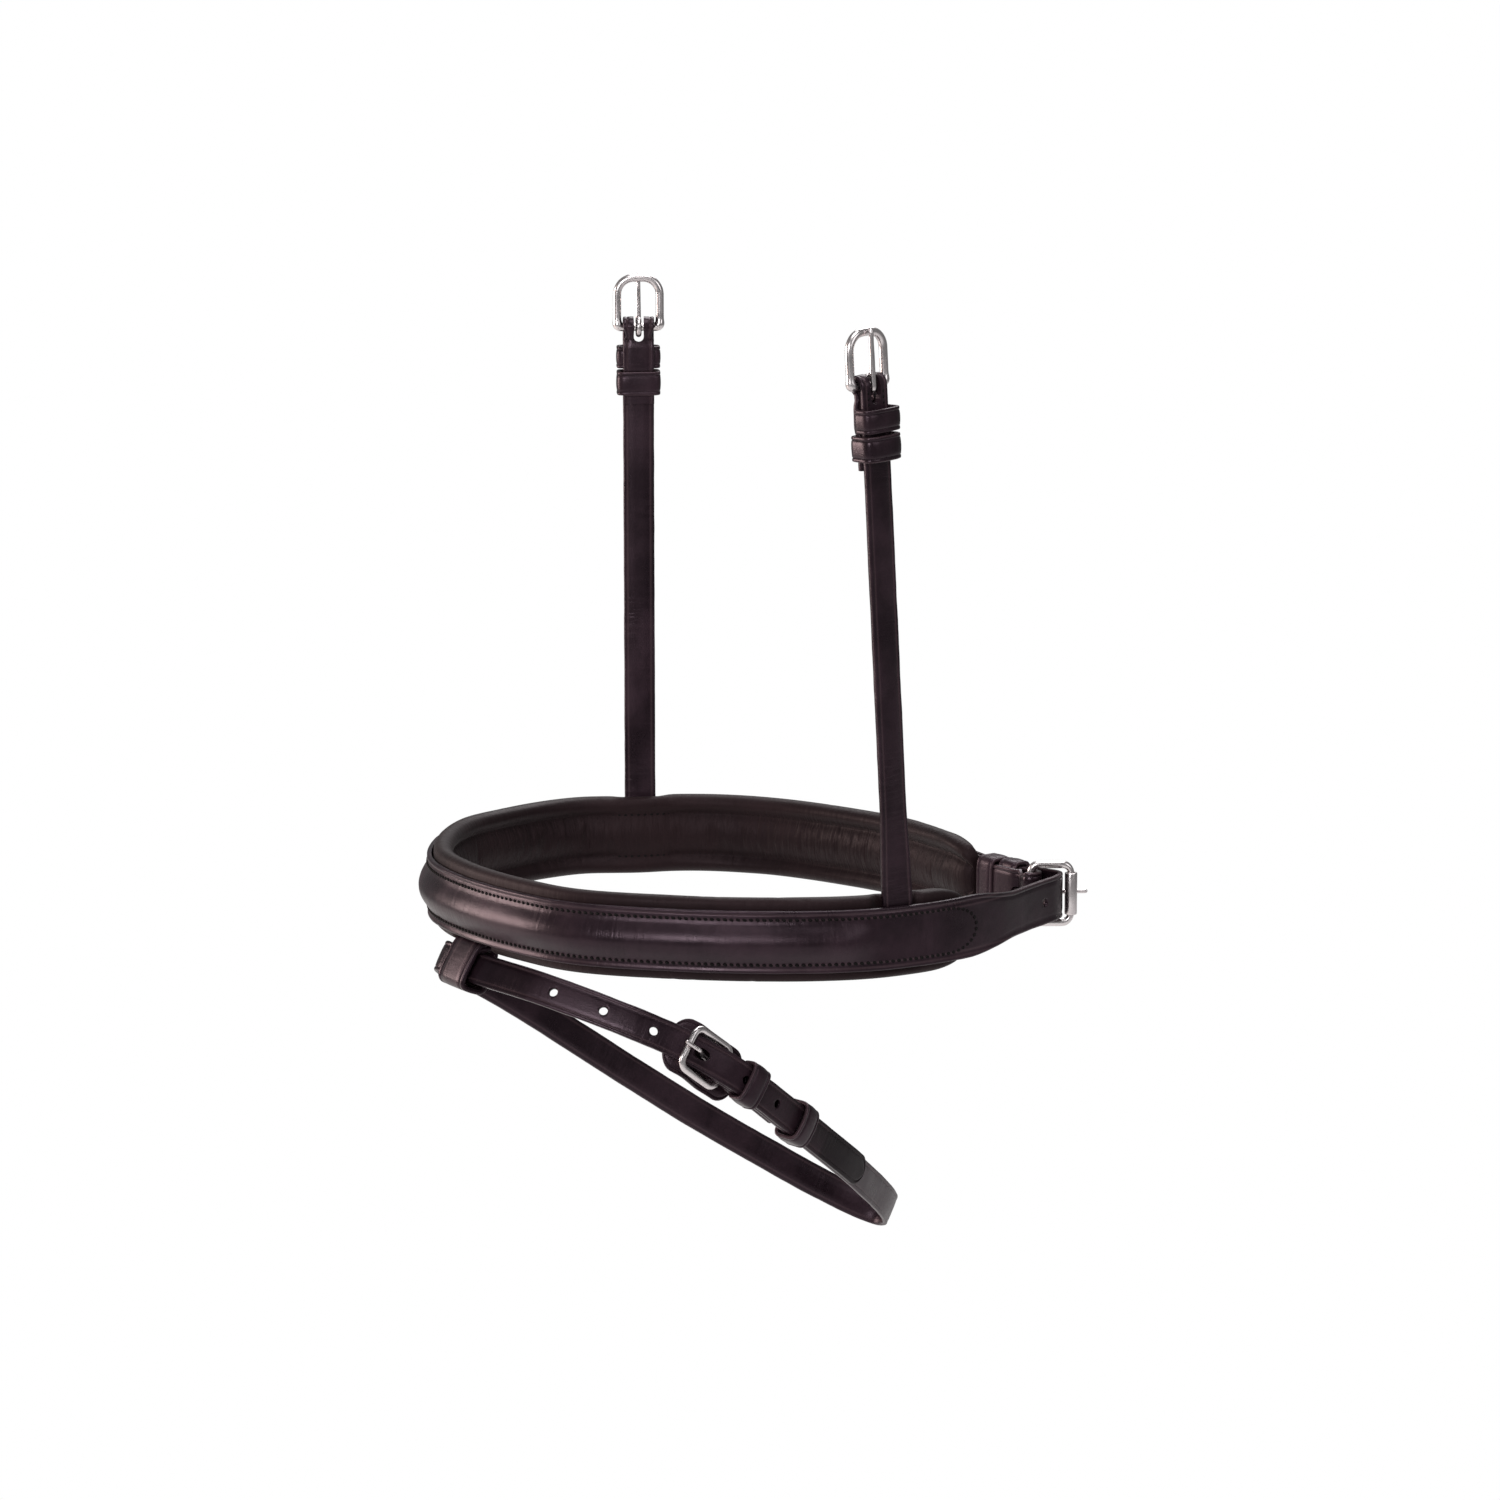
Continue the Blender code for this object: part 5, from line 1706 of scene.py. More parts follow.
@dataclass(frozen=True)
class Keeper:
    """A leather loop that holds a strap's end down."""

    name: str
    body: str
    hold_width: float
    depth: float
    running: bool = False
    bulge: float = 0.0005
    width: float = KEEPER_WIDTH
    thick: float = KEEPER_THICK

    def path(self, station: Station) -> list[Station]:
        """Lay the loop's middle line round the strap.

        A fixed keeper's ends go in between the strap and its turned-in end.

        Args:
            station: the strap's station that the keeper is centred on.

        Returns:
            Stations round the loop.
        """
        across = station.across
        half = self.hold_width / 2.0 + RUN + self.thick / 2.0
        high = self.depth + RUN + self.thick / 2.0
        steps = 14
        points = []
        low = -high
        if not self.running:
            low = -self.depth / 3.0 - GAP - self.thick / 2.0
        middle = (high + low) / 2.0
        rise = (high - low) / 2.0
        power = 0.34
        for step in range(steps * 4):
            angle = 2.0 * math.pi * step / (steps * 4)
            side = math.copysign(abs(math.cos(angle)) ** power, math.cos(angle))
            out = math.copysign(abs(math.sin(angle)) ** power, math.sin(angle))
            bow = self.bulge * (1.0 - side * side) if out > 0.0 else 0.0
            points.append(station.point + across * half * side
                          + station.normal * (middle + rise * out + bow))
        even = even_ring(points, KEEPER_STEP)
        count = len(even)
        made = []
        for index, point in enumerate(even):
            heading = (even[(index + 1) % count] - even[index - 1]).normalized()
            made.append(Station(point, heading, station.heading.cross(heading).normalized()))
        centre = station.point + station.normal * middle
        if (made[0].point - centre).dot(made[0].normal) < 0.0:
            made = [Station(item.point, item.heading, -item.normal) for item in made]
        return made

    def build(self, station: Station, leather: LeatherSet) -> bpy.types.Object:
        """Make the keeper.

        Args:
            station: the strap's station that the keeper is centred on.
            leather: its finishes.

        Returns:
            The keeper.
        """
        section = StrapSection(self.thick, round_edge=0.00042, crease_inset=0.0014,
                               crease_depth=0.00026, crown=0.00018)
        path = self.path(station)
        outline = section.outline(self.width)
        item = sweep(f"{self.name}_piece", path, [outline] * len(path), closed=True)
        weather(item, WEAR_SMALL, WAVES_KEEPER)
        return finish(item, leather.listed(), self.body, STRAP_SLOT, self.name)


@dataclass(frozen=True)
class WireFrame:
    """A buckle's frame, bent from round wire and swollen where the heel bar meets it."""

    reach: float
    width: float
    wire: float
    heel_round: float
    front_round: float
    crossbar: float = 0.0
    knuckle_share: float = 0.0
    flatten: float = 1.0

    def path(self) -> list[tuple[float, float]]:
        """Lay the frame's middle line in its own plane.

        Returns:
            Places ahead of the heel bar and across it.
        """
        half = (self.width - self.wire) / 2.0
        heel, front = self.heel_round, self.front_round
        corners = (
            (heel, half - heel, heel, 180.0, 90.0),
            (self.reach - front, half - front, front, 90.0, 0.0),
            (self.reach - front, front - half, front, 0.0, -90.0),
            (heel, heel - half, heel, -90.0, -180.0),
        )
        points = []
        steps = 10
        for along, across, radius, start, end in corners:
            for step in range(steps + 1):
                angle = math.radians(start + (end - start) * step / steps)
                points.append(Vector((along + radius * math.cos(angle),
                                      across + radius * math.sin(angle), 0.0)))
        return [(point.x, point.y) for point in even_ring(points, WIRE_STEP)]

    def build(self, name: str, heel: Vector, forward: Vector,
              bar_axis: Vector) -> bpy.types.Object:
        """Make the frame.

        Args:
            name: the object's name.
            heel: the heel bar's middle.
            forward: direction from the heel bar to the front bar.
            bar_axis: direction of the heel bar.

        Returns:
            The frame.
        """
        half = (self.width - self.wire) / 2.0
        places = []
        radii = []
        for along, across in self.path():
            places.append(heel + forward * along + bar_axis * across)
            away = math.hypot(along - self.wire * 0.15, abs(across) - half) / (self.wire * 0.55)
            swell = self.knuckle_share * math.exp(-away * away)
            thin = 1.0
            if self.crossbar:
                front = ease((along - self.reach + self.front_round * 0.8) / self.front_round)
                thin = 1.0 + (self.crossbar / self.wire - 1.0) * front
            radii.append(self.wire / 2.0 * (thin + swell))
        return wire(name, places, forward.cross(bar_axis), radii, True, self.flatten)


@dataclass(frozen=True)
class WireTongue:
    """A buckle's tongue: wire hooked round the heel bar, tapered and rounded at its tip."""

    bar_radius: float
    wire: float
    tip_share: float = 0.72

    def build(self, name: str, centre: Vector, bar_axis: Vector,
              points: Sequence[Vector]) -> bpy.types.Object:
        """Make the tongue.

        Args:
            name: the object's name.
            centre: the heel bar's middle.
            bar_axis: direction of the heel bar.
            points: the tongue's line beyond its hook.

        Returns:
            The tongue.
        """
        turn_radius = self.bar_radius + GAP + self.wire / 2.0
        first = points[0] - centre
        lean = math.acos(min(1.0, turn_radius / first.length))
        toward = first.normalized()
        side = bar_axis.cross(toward)
        steps = 26
        sweep_angle = math.radians(285.0)
        hook = []
        for step in range(steps + 1):
            angle = lean + sweep_angle * (1.0 - step / steps)
            reach = toward * math.cos(angle) + side * math.sin(angle)
            hook.append(centre + reach * turn_radius)
        line = smooth_route([hook[-1]] + list(points), TONGUE_STEP)[1:]
        route = hook + line
        heading = slopes(route)[-1]
        radii = []
        for index in range(len(route)):
            share = max(0.0, (index - steps) / (len(route) - 1 - steps))
            radii.append(self.wire / 2.0 * (1.0 + (self.tip_share - 1.0) * share))
        blunt = self.wire / 2.0 * self.tip_share
        for angle in (0.35, 0.7, 1.05, 1.35):
            route.append(points[-1] + heading * blunt * math.sin(angle))
            radii.append(blunt * math.cos(angle))
        return wire(name, route, bar_axis, radii, False)


@dataclass
class StitchLine:
    """The closed line of stitches that joins the lining to the noseband's strap."""

    band: BandRoute
    overhang: float = 0.0030
    closing: float = 0.0150

    @property
    def start(self) -> float:
        """Signed length from the nose to the line's left end."""
        return -PAD_NEAR_REACH - self.overhang

    @property
    def end(self) -> float:
        """Signed length from the nose to the line's right end."""
        return self.band.pad_far_reach + self.overhang * 0.6

    def row_at(self, distance: float) -> float:
        """Read how far a row is from the strap's middle.

        Args:
            distance: signed length from the nose.

        Returns:
            The height of the upper row; the lower one mirrors it.
        """
        full = BAND_HEIGHT / 2.0 - STITCH_INSET
        share = min(distance - self.start, self.end - distance) / self.closing
        share = min(max(share, 0.0), 1.0)
        return full * math.sqrt(1.0 - (1.0 - share) ** 2.2)

    def places(self) -> list[tuple[float, float, float, float]]:
        """Space the stitches evenly along the line.

        Returns:
            For each stitch its length from the nose, its height, and its heading in both.
        """
        upper = []
        for step in range(LINE_SAMPLES + 1):
            share = step / LINE_SAMPLES
            eased = 0.5 - 0.5 * math.cos(math.pi * share)
            distance = self.start + (self.end - self.start) * eased
            upper.append(Vector((distance, self.row_at(distance), 0.0)))
        line = upper + [Vector((point.x, -point.y, 0.0)) for point in reversed(upper[1:-1])]
        ring = line + [line[0]]
        lengths = running_lengths(ring)
        total = round(lengths[-1] / STITCH_PITCH)
        places = []
        for number in range(total):
            at = lengths[-1] * (number + 0.5) / total
            point = point_at(ring, lengths, at)
            ahead = (point_at(ring, lengths, at + LINE_LOOK)
                     - point_at(ring, lengths, at - LINE_LOOK)).normalized()
            places.append((point.x, point.y, ahead.x, ahead.y))
        return places


@dataclass
class NosebandStrap:
    """The outer strap: jaw billet, raised front, stitches, and the end turned round the buckle."""

    band: BandRoute
    leather: LeatherSet
    thread: bpy.types.Material
    section: BandSection = BandSection()
    holes: range = range(-2, 2)

    def strap(self) -> bpy.types.Object:
        """Make the strap with its holes and the slit for the tongue.

        Returns:
            The strap.
        """
        route = self.band.route
        tip = BILLET_HEIGHT / 2.0
        places = [tip * share for share in TIP_SHARES]
        places += [length for length in route.lengths if length > tip]
        stations = [route.at(length) for length in places]
        outlines = []
        for length in places:
            distance = length - self.band.nose_length
            height = tip_width(length, self.band.height_at(distance), tip)
            outlines.append(self.section.outline(height, self.band.lift_at(distance)))
        stations += self.band.fold
        outlines += [self.section.outline(BILLET_HEIGHT, 0.0)] * len(self.band.fold)
        item = sweep("noseband_strap_piece", stations, outlines)
        weather(item, WEAR_STRAP, WAVES_BAND)
        cut(item, self.cutters())
        return finish(item, self.leather.listed(), "noseband", STRAP_SLOT, "noseband_strap",
                      "raised_core")

    def cutters(self) -> list[bpy.types.Object]:
        """Make the cutters for the holes and the slit.

        Returns:
            The cutters.
        """
        band = self.band
        side = (ROLLER_DIAMETER + JAW_TONGUE_WIRE) / 2.0 * JAW_PASS / JAW_FRAME_REACH
        first = band.route.nearest_length(band.passing, 0.4) - side
        made = punch_row("jaw_hole", band.route, first, JAW_HOLE_PITCH, self.holes, BAND_THICK,
                         JAW_HOLE_DRAWN)
        radius = JAW_WIRE / 2.0 + GAP + BAND_THICK / 2.0
        reach = radius + BAND_THICK
        made.append(slit("jaw_slit", band.heel, band.route.stations[-1].heading, UP,
                         (reach + JAW_TONGUE_WIRE * 1.4, reach), radius + BAND_THICK * SLIT_DEPTH))
        return made

    def stitches(self) -> bpy.types.Object:
        """Sew the rows on the strap's outer side.

        Returns:
            The stitches.
        """
        places = []
        for distance, height, ahead, rise in StitchLine(self.band).places():
            station = self.band.at(distance)
            heading = (station.heading * ahead + UP * rise).normalized()
            dip = STITCH_DIP * min(1.0, self.band.lift_at(distance) / RAISE)
            point = station.point + UP * height + station.normal * (BAND_THICK / 2.0 - dip)
            places.append(Station(point, heading, station.normal))
        return sew("noseband_stitching", places, self.thread, "noseband")

    def build(self) -> None:
        """Make every piece."""
        self.strap()
        self.stitches()


@dataclass
class PaddedLining:
    """Soft leather over foam, sewn behind the noseband's strap and swollen between its rows."""

    band: BandRoute
    leather: bpy.types.Material
    thread: bpy.types.Material
    spacing: float = STITCH_PITCH / 2.0
    groove_share: float = 0.60
    fill: float = 0.8
    most_moved: float = 0.0007
    grow: float = 20.0
    frames: int = 20
    channel_columns: int = 12
    between_hold: float = 0.6
    end_height: float = 0.62
    more_height: float = 0.38
    end_depth: float = 0.30
    more_depth: float = 0.66
    row_share: float = 0.62

    def size_at(self, distance: float) -> tuple[float, float, float]:
        """Read the size of the unfilled lining.

        Args:
            distance: signed length from the nose.

        Returns:
            Half its height, its depth, and how far from its middle a row may be.
        """
        share = self.band.pad_share_at(distance)
        half = PAD_HEIGHT / 2.0 * (self.end_height + self.more_height * share)
        depth = PAD_DEPTH * (self.end_depth + self.more_depth * share)
        return half, depth, half * self.row_share

    def section(self, distance: float) -> list[tuple[float, float, bool]]:
        """Lay out the lining's section before it is filled.

        Args:
            distance: signed length from the nose.

        Returns:
            Height, depth and whether it is held, from the top of the back round to the top again.
        """
        half, depth, most = self.size_at(distance)
        row = min(StitchLine(self.band).row_at(distance), most)
        groove = depth * self.groove_share
        roll = [(0.0, groove), (0.12, depth * 0.79), (0.27, depth * 0.93), (0.44, depth * 0.985),
                (0.60, depth * 0.97), (0.75, depth * 0.89), (0.87, depth * 0.76),
                (0.955, depth * 0.60), (1.0, depth * 0.42), (0.975, depth * 0.26),
                (0.90, depth * 0.13), (0.78, depth * 0.04), (0.64, 0.0)]
        upper = [(row + (half - row) * across, out) for across, out in roll]
        points = [(z, out, out == 0.0 or index == 0) for index, (z, out) in enumerate(upper)]
        side = list(reversed(points))
        channel = []
        for step in range(1, self.channel_columns):
            across = 1.0 - 2.0 * step / self.channel_columns
            rise = (depth * 0.93 - groove) * (1.0 - across * across) ** 0.7
            channel.append((row * across, groove + rise, False))
        mirrored = [(-z, out, held) for z, out, held in points]
        back = [(points[-1][0] * share, 0.0, True) for share in (-0.5, 0.0, 0.5)]
        return side + channel + mirrored + back

    def stations(self) -> list[float]:
        """Space the sections, with a stitch at every second one.

        Returns:
            Signed lengths from the nose.
        """
        start, end = -PAD_NEAR_REACH, self.band.pad_far_reach
        count = round((end - start) / self.spacing / 2.0) * 2
        return [start + (end - start) * step / count for step in range(count + 1)]

    def shell(self) -> tuple[bpy.types.Object, list[float]]:
        """Make the unfilled lining.

        Returns:
            The lining, and for each point how firmly it is held.
        """
        mesh_data = bmesh.new()
        uv_layer = mesh_data.loops.layers.uv.new("strap")
        rings = []
        held = []
        heights = []
        distances = self.stations()
        for index, distance in enumerate(distances):
            station = self.band.at(distance)
            base = station.point - station.normal * (BAND_THICK / 2.0 + GAP)
            ring = []
            section = self.section(distance)
            deepest = max(out for _, out, _ in section)
            at_end = index < 2 or index > len(distances) - 3
            for z, out, pinned in section:
                inward = out + self.band.dip_at(distance, z) * (1.0 - out / deepest)
                ring.append(mesh_data.verts.new(base + UP * z - station.normal * inward))
                between = pinned and out > 0.0 and index % 2
                loose = self.between_hold if between else 0.0
                held.append(1.0 if at_end or (pinned and not between) else loose)
            rings.append(ring)
            heights.append([z for z, _, _ in section])
        count = len(rings[0])
        for row in range(len(rings) - 1):
            for index in range(count):
                following = (index + 1) % count
                corners = ((row, index), (row, following), (row + 1, following), (row + 1, index))
                face = mesh_data.faces.new([rings[first][second] for first, second in corners])
                face.smooth = True
                for loop, (first, second) in zip(face.loops, corners):
                    loop[uv_layer].uv = (distances[first], heights[first][second])
        mesh_data.faces.new(rings[0][::-1])
        mesh_data.faces.new(rings[-1])
        return settle("pad_lining_piece", mesh_data), held

    def fill_with_foam(self, item: bpy.types.Object, held: list[float]) -> None:
        """Swell the lining between its rows of stitches.

        Args:
            item: the unfilled lining.
            held: how firmly each point is held.
        """
        before = [vertex.co.copy() for vertex in item.data.vertices]
        item.data.transform(Matrix.Scale(self.grow, 4))
        group = item.vertex_groups.new(name="held")
        for index, weight in enumerate(held):
            group.add([index], weight, "REPLACE")
        cloth = item.modifiers.new("filling", "CLOTH")
        cloth.settings.quality = 4
        cloth.settings.mass = 0.02
        cloth.settings.use_pressure = True
        cloth.settings.uniform_pressure_force = 4.0
        cloth.settings.shrink_min = -0.010
        cloth.settings.tension_stiffness = 12.0
        cloth.settings.compression_stiffness = 12.0
        cloth.settings.shear_stiffness = 5.0
        cloth.settings.bending_stiffness = 4.0
        cloth.settings.vertex_group_mass = "held"
        cloth.settings.effector_weights.gravity = 0.0
        cloth.collision_settings.use_collision = False
        cloth.point_cache.frame_start = 1
        cloth.point_cache.frame_end = self.frames
        scene = bpy.context.scene
        for number in range(1, self.frames + 1):
            scene.frame_set(number)
        apply_modifiers(item)
        item.vertex_groups.clear()
        item.data.transform(Matrix.Scale(1.0 / self.grow, 4))
        scene.frame_set(1)
        moves = [(vertex.co - start).length for vertex, start in zip(item.data.vertices, before)]
        LOG.info("lining swelled by %.2f mm at most", max(moves) / MM)
        for vertex, start, move in zip(item.data.vertices, before, moves):
            if move > self.most_moved:
                vertex.co = start + (vertex.co - start) * (self.most_moved / move)

    def lining(self) -> bpy.types.Object:
        """Make the padded lining.

        Returns:
            The lining.
        """
        item, held = self.shell()
        self.fill_with_foam(item, held)
        smooth = item.modifiers.new("smooth", "SUBSURF")
        smooth.levels = 1
        smooth.render_levels = 1
        apply_modifiers(item)
        finish(item, [self.leather], "noseband", "lining_leather", "pad_lining", "pad_foam")
        return item

    def stitches(self) -> bpy.types.Object:
        """Sew the rows that show in the lining's grooves.

        Returns:
            The stitches.
        """
        places = []
        for distance, height, ahead, rise in StitchLine(self.band).places():
            if not -PAD_NEAR_REACH + MM < distance < self.band.pad_far_reach - MM:
                continue
            station = self.band.at(distance)
            _, depth, most = self.size_at(distance)
            if abs(height) > most:
                continue
            dip = self.band.dip_at(distance, height) * (1.0 - self.groove_share)
            out = BAND_THICK / 2.0 + GAP + dip + depth * self.groove_share
            heading = (station.heading * ahead + UP * rise).normalized()
            places.append(Station(station.point + UP * height - station.normal * out, heading,
                                  -station.normal))
        return sew("lining_stitching", places, self.thread, "noseband")

    def build(self) -> None:
        """Make every piece."""
        self.lining()
        self.stitches()


@dataclass
class Hanger:
    """A strap that rises from the noseband to its buckle on the headpiece."""

    side: Side
    band: BandRoute
    leather: LeatherSet
    thread: bpy.types.Material
    steel: bpy.types.Material
    frame: WireFrame = WireFrame(HANGER_FRAME_REACH, HANGER_FRAME_WIDTH, wire=0.0031,
                                 heel_round=0.0019, front_round=0.0064, knuckle_share=0.32)
    tongue: WireTongue = WireTongue(HANGER_WIRE / 2.0, HANGER_TONGUE_WIRE)
    tongue_room: float = 0.0004
    route: HangerRoute = field(init=False)

    def build(self) -> None:
        """Make every piece."""
        self.route = HangerRoute(self.side, self.band)
        self.strap()
        self.buckle()
        self.keepers()

    def strap(self) -> bpy.types.Object:
        """Make the strap with its turned-in end and the slit for the tongue.

        Returns:
            The strap.
        """
        route = self.route
        section = StrapSection(HANGER_THICK)
        stations = route.route.stations + route.fold
        outline = section.outline(HANGER_WIDTH)
        item = sweep(f"hanger_strap_{self.side.value}_piece", stations,
                     [outline] * len(stations))
        weather(item, WEAR_STRAP, WAVES_STRAP)
        top = route.top
        radius = HANGER_WIRE / 2.0 + GAP + HANGER_THICK / 2.0
        reach = radius + HANGER_THICK
        cut(item, [slit(f"hanger_slit_{self.side.value}", route.heel, top.heading, -top.across,
                        (reach, reach), radius + HANGER_THICK * SLIT_DEPTH, 1.3)])
        finish(item, self.leather.listed(), "noseband", STRAP_SLOT,
               f"hanger_strap_{self.side.value}")
        end = HANGER_KEEPER_DROP - KEEPER_WIDTH / 2.0 - KEEPER_STITCH_GAP
        sew_edges(f"hanger_stitching_{self.side.value}", route.route, (FINE_START, end),
                  (HANGER_WIDTH, HANGER_THICK), self.thread, "noseband")
        return item

    def buckle(self) -> None:
        """Make the frame and the tongue."""
        name = self.side.value
        route = self.route
        top = route.top
        across = top.across
        frame_piece = self.frame.build(f"hanger_buckle_frame_{name}_piece", route.heel, top.heading,
                                       across)
        finish(frame_piece, [self.steel], f"hanger_frame_{name}", STEEL_SLOT,
               f"hanger_buckle_frame_{name}")
        rest_out = HANGER_WIRE / 2.0 + GAP + HANGER_TONGUE_WIRE / 2.0
        line = [route.heel + top.heading * HANGER_FRAME_REACH * share + top.normal * rest_out * out
                for share, out in ((0.30, 0.97), (0.55, 1.0), (0.80, 1.0), (1.0, 1.04))]
        line.append(route.heel + top.heading * (HANGER_FRAME_REACH + HANGER_WIRE * 0.30)
                    + top.normal * rest_out * 0.98)
        tongue_piece = self.tongue.build(f"hanger_buckle_tongue_{name}_piece", route.heel, across,
                                         line)
        finish(tongue_piece, [self.steel], f"hanger_tongue_{name}", STEEL_SLOT,
               f"hanger_buckle_tongue_{name}")

    def keepers(self) -> None:
        """Make the fixed and the running keeper."""
        name = self.side.value
        route = self.route.route
        depth = HANGER_THICK * KEEPER_HOLD + GAP
        loose = HANGER_WIDTH * 1.09
        fixed = Keeper(f"hanger_fixed_keeper_{name}", "noseband", loose, depth,
                       width=KEEPER_WIDTH * 0.92)
        fixed.build(route.at(route.total - HANGER_KEEPER_DROP - self.tongue_room), self.leather)
        running = Keeper(f"hanger_running_keeper_{name}", f"hanger_slider_{name}", loose, depth,
                         running=True, bulge=0.0009)
        drop = HANGER_KEEPER_DROP + HANGER_KEEPER_PITCH
        running.build(route.at(route.total - drop), self.leather)


@dataclass
class JawBuckle:
    """The roller buckle that closes the noseband, with its two keepers."""

    band: BandRoute
    leather: LeatherSet
    steel: bpy.types.Material
    frame: WireFrame = WireFrame(JAW_FRAME_REACH, JAW_FRAME_HEIGHT, JAW_WIRE, heel_round=0.0030,
                                 front_round=0.0034, crossbar=JAW_CROSSBAR_WIRE)
    tongue: WireTongue = WireTongue(JAW_WIRE / 2.0, JAW_TONGUE_WIRE)

    def build(self) -> None:
        """Make every piece."""
        band = self.band
        forward = band.frame_forward
        frame_piece = self.frame.build("jaw_buckle_frame_piece", band.heel, forward, UP)
        finish(frame_piece, [self.steel], "jaw_frame", STEEL_SLOT, "jaw_buckle_frame")
        self.roller(band.heel + forward * JAW_FRAME_REACH)
        outward = UP.cross(forward)
        rest_out = ROLLER_DIAMETER / 2.0 + GAP + JAW_TONGUE_WIRE / 2.0
        line = [band.heel + forward * JAW_FRAME_REACH * share + outward * rest_out * min(share, 1.0)
                for share in (0.45, 0.60, 0.75, 0.88, 1.0, 1.18, 1.38)]
        tongue_piece = self.tongue.build("jaw_buckle_tongue_piece", band.heel, -UP, line)
        finish(tongue_piece, [self.steel], "jaw_tongue", STEEL_SLOT, "jaw_buckle_tongue")
        depth = BAND_THICK * KEEPER_HOLD + GAP
        route = band.route
        fixed = Keeper("jaw_fixed_keeper", "noseband", BILLET_HEIGHT, depth)
        fixed.build(route.at(route.total - JAW_KEEPER_DROP), self.leather)
        running = Keeper("jaw_running_keeper", "jaw_slider", BILLET_HEIGHT, depth, running=True)
        drop = JAW_KEEPER_DROP + JAW_KEEPER_PITCH
        running.build(route.at(route.total - drop), self.leather)

    def roller(self, middle: Vector) -> bpy.types.Object:
        """Make the tube that turns on the front bar.

        Args:
            middle: middle of the front bar.

        Returns:
            The roller.
        """
        outer = ROLLER_DIAMETER / 2.0
        inner = JAW_CROSSBAR_WIRE / 2.0 + GAP
        half = ROLLER_LENGTH / 2.0
        lip = 0.00035
        profile = [(inner, -half), (outer - lip, -half), (outer - lip * 0.3, lip * 0.3 - half),
                   (outer, lip - half), (outer, 0.0), (outer, half - lip),
                   (outer - lip * 0.3, half - lip * 0.3), (outer - lip, half), (inner, half)]
        sides = 32
        mesh_data = bmesh.new()
        rings = []
        forward = self.band.frame_forward
        outward = UP.cross(forward)
        for step in range(sides):
            angle = 2.0 * math.pi * step / sides
            reach = forward * math.cos(angle) + outward * math.sin(angle)
            rings.append([mesh_data.verts.new(middle + reach * radius + UP * along)
                          for radius, along in profile])
        bridge(mesh_data, rings, closed=True)
        item = settle("jaw_buckle_roller_piece", mesh_data, SHARP_ROLLER)
        return finish(item, [self.steel], "jaw_roller", STEEL_SLOT, "jaw_buckle_roller")


@dataclass
class FlashTab:
    """The strip sewn behind the noseband and folded into a loop for the flash strap."""

    band: BandRoute
    loop: LoopRoute
    leather: LeatherSet

    def build(self) -> bpy.types.Object:
        """Make the tab.

        Returns:
            The tab.
        """
        nose = self.band.at(0.0)
        outward = nose.normal
        tilted_up = UP * math.cos(TAB_TILT) - outward * math.sin(TAB_TILT)
        tilted_out = outward * math.cos(TAB_TILT) + UP * math.sin(TAB_TILT)
        slot = self.loop.slot - tilted_out * TAB_BACK + tilted_up * TAB_RAISE
        high = (TAB_SLOT_HEIGHT + TAB_THICK) / 2.0
        deep = (TAB_SLOT_DEPTH + TAB_THICK) / 2.0
        edge = BAND_HEIGHT / 2.0
        behind = nose.point - outward * (BAND_THICK / 2.0 + GAP + TAB_INSET + TAB_THICK / 2.0)
        points = [behind - UP * (edge - TAB_HEM), behind - UP * (edge - TAB_HEM / 2.0),
                  behind - UP * (edge + GAP + TAB_THICK / 2.0)]
        points.append(slot + tilted_up * (high - TAB_CORNER / 4.0)
                      + tilted_out * (deep - TAB_CORNER))
        steps = 4
        for number, signs in enumerate(((1.0, -1.0), (-1.0, -1.0), (-1.0, 1.0))):
            middle = (slot + tilted_out * signs[0] * (deep - TAB_CORNER)
                      + tilted_up * signs[1] * (high - TAB_CORNER))
            for step in range(steps):
                angle = math.pi / 2.0 * (number + step / (steps - 1))
                reach = tilted_out * math.cos(angle) - tilted_up * math.sin(angle)
                points.append(middle + reach * TAB_CORNER)
        points.append(slot + tilted_up * (high - TAB_THICK - GAP)
                      + tilted_out * (deep - TAB_THICK - GAP))
        stations = stations_of(smooth_route(points, TAB_STEP), nose.heading)
        section = StrapSection(TAB_THICK, crease_inset=0.0018, crease_depth=0.0003)
        outline = section.outline(TAB_WIDTH)
        item = sweep("flash_tab_piece", stations, [outline] * len(stations))
        weather(item, WEAR_SMALL, WAVES_TAB)
        return finish(item, self.leather.listed(), "noseband", STRAP_SLOT, "flash_tab")


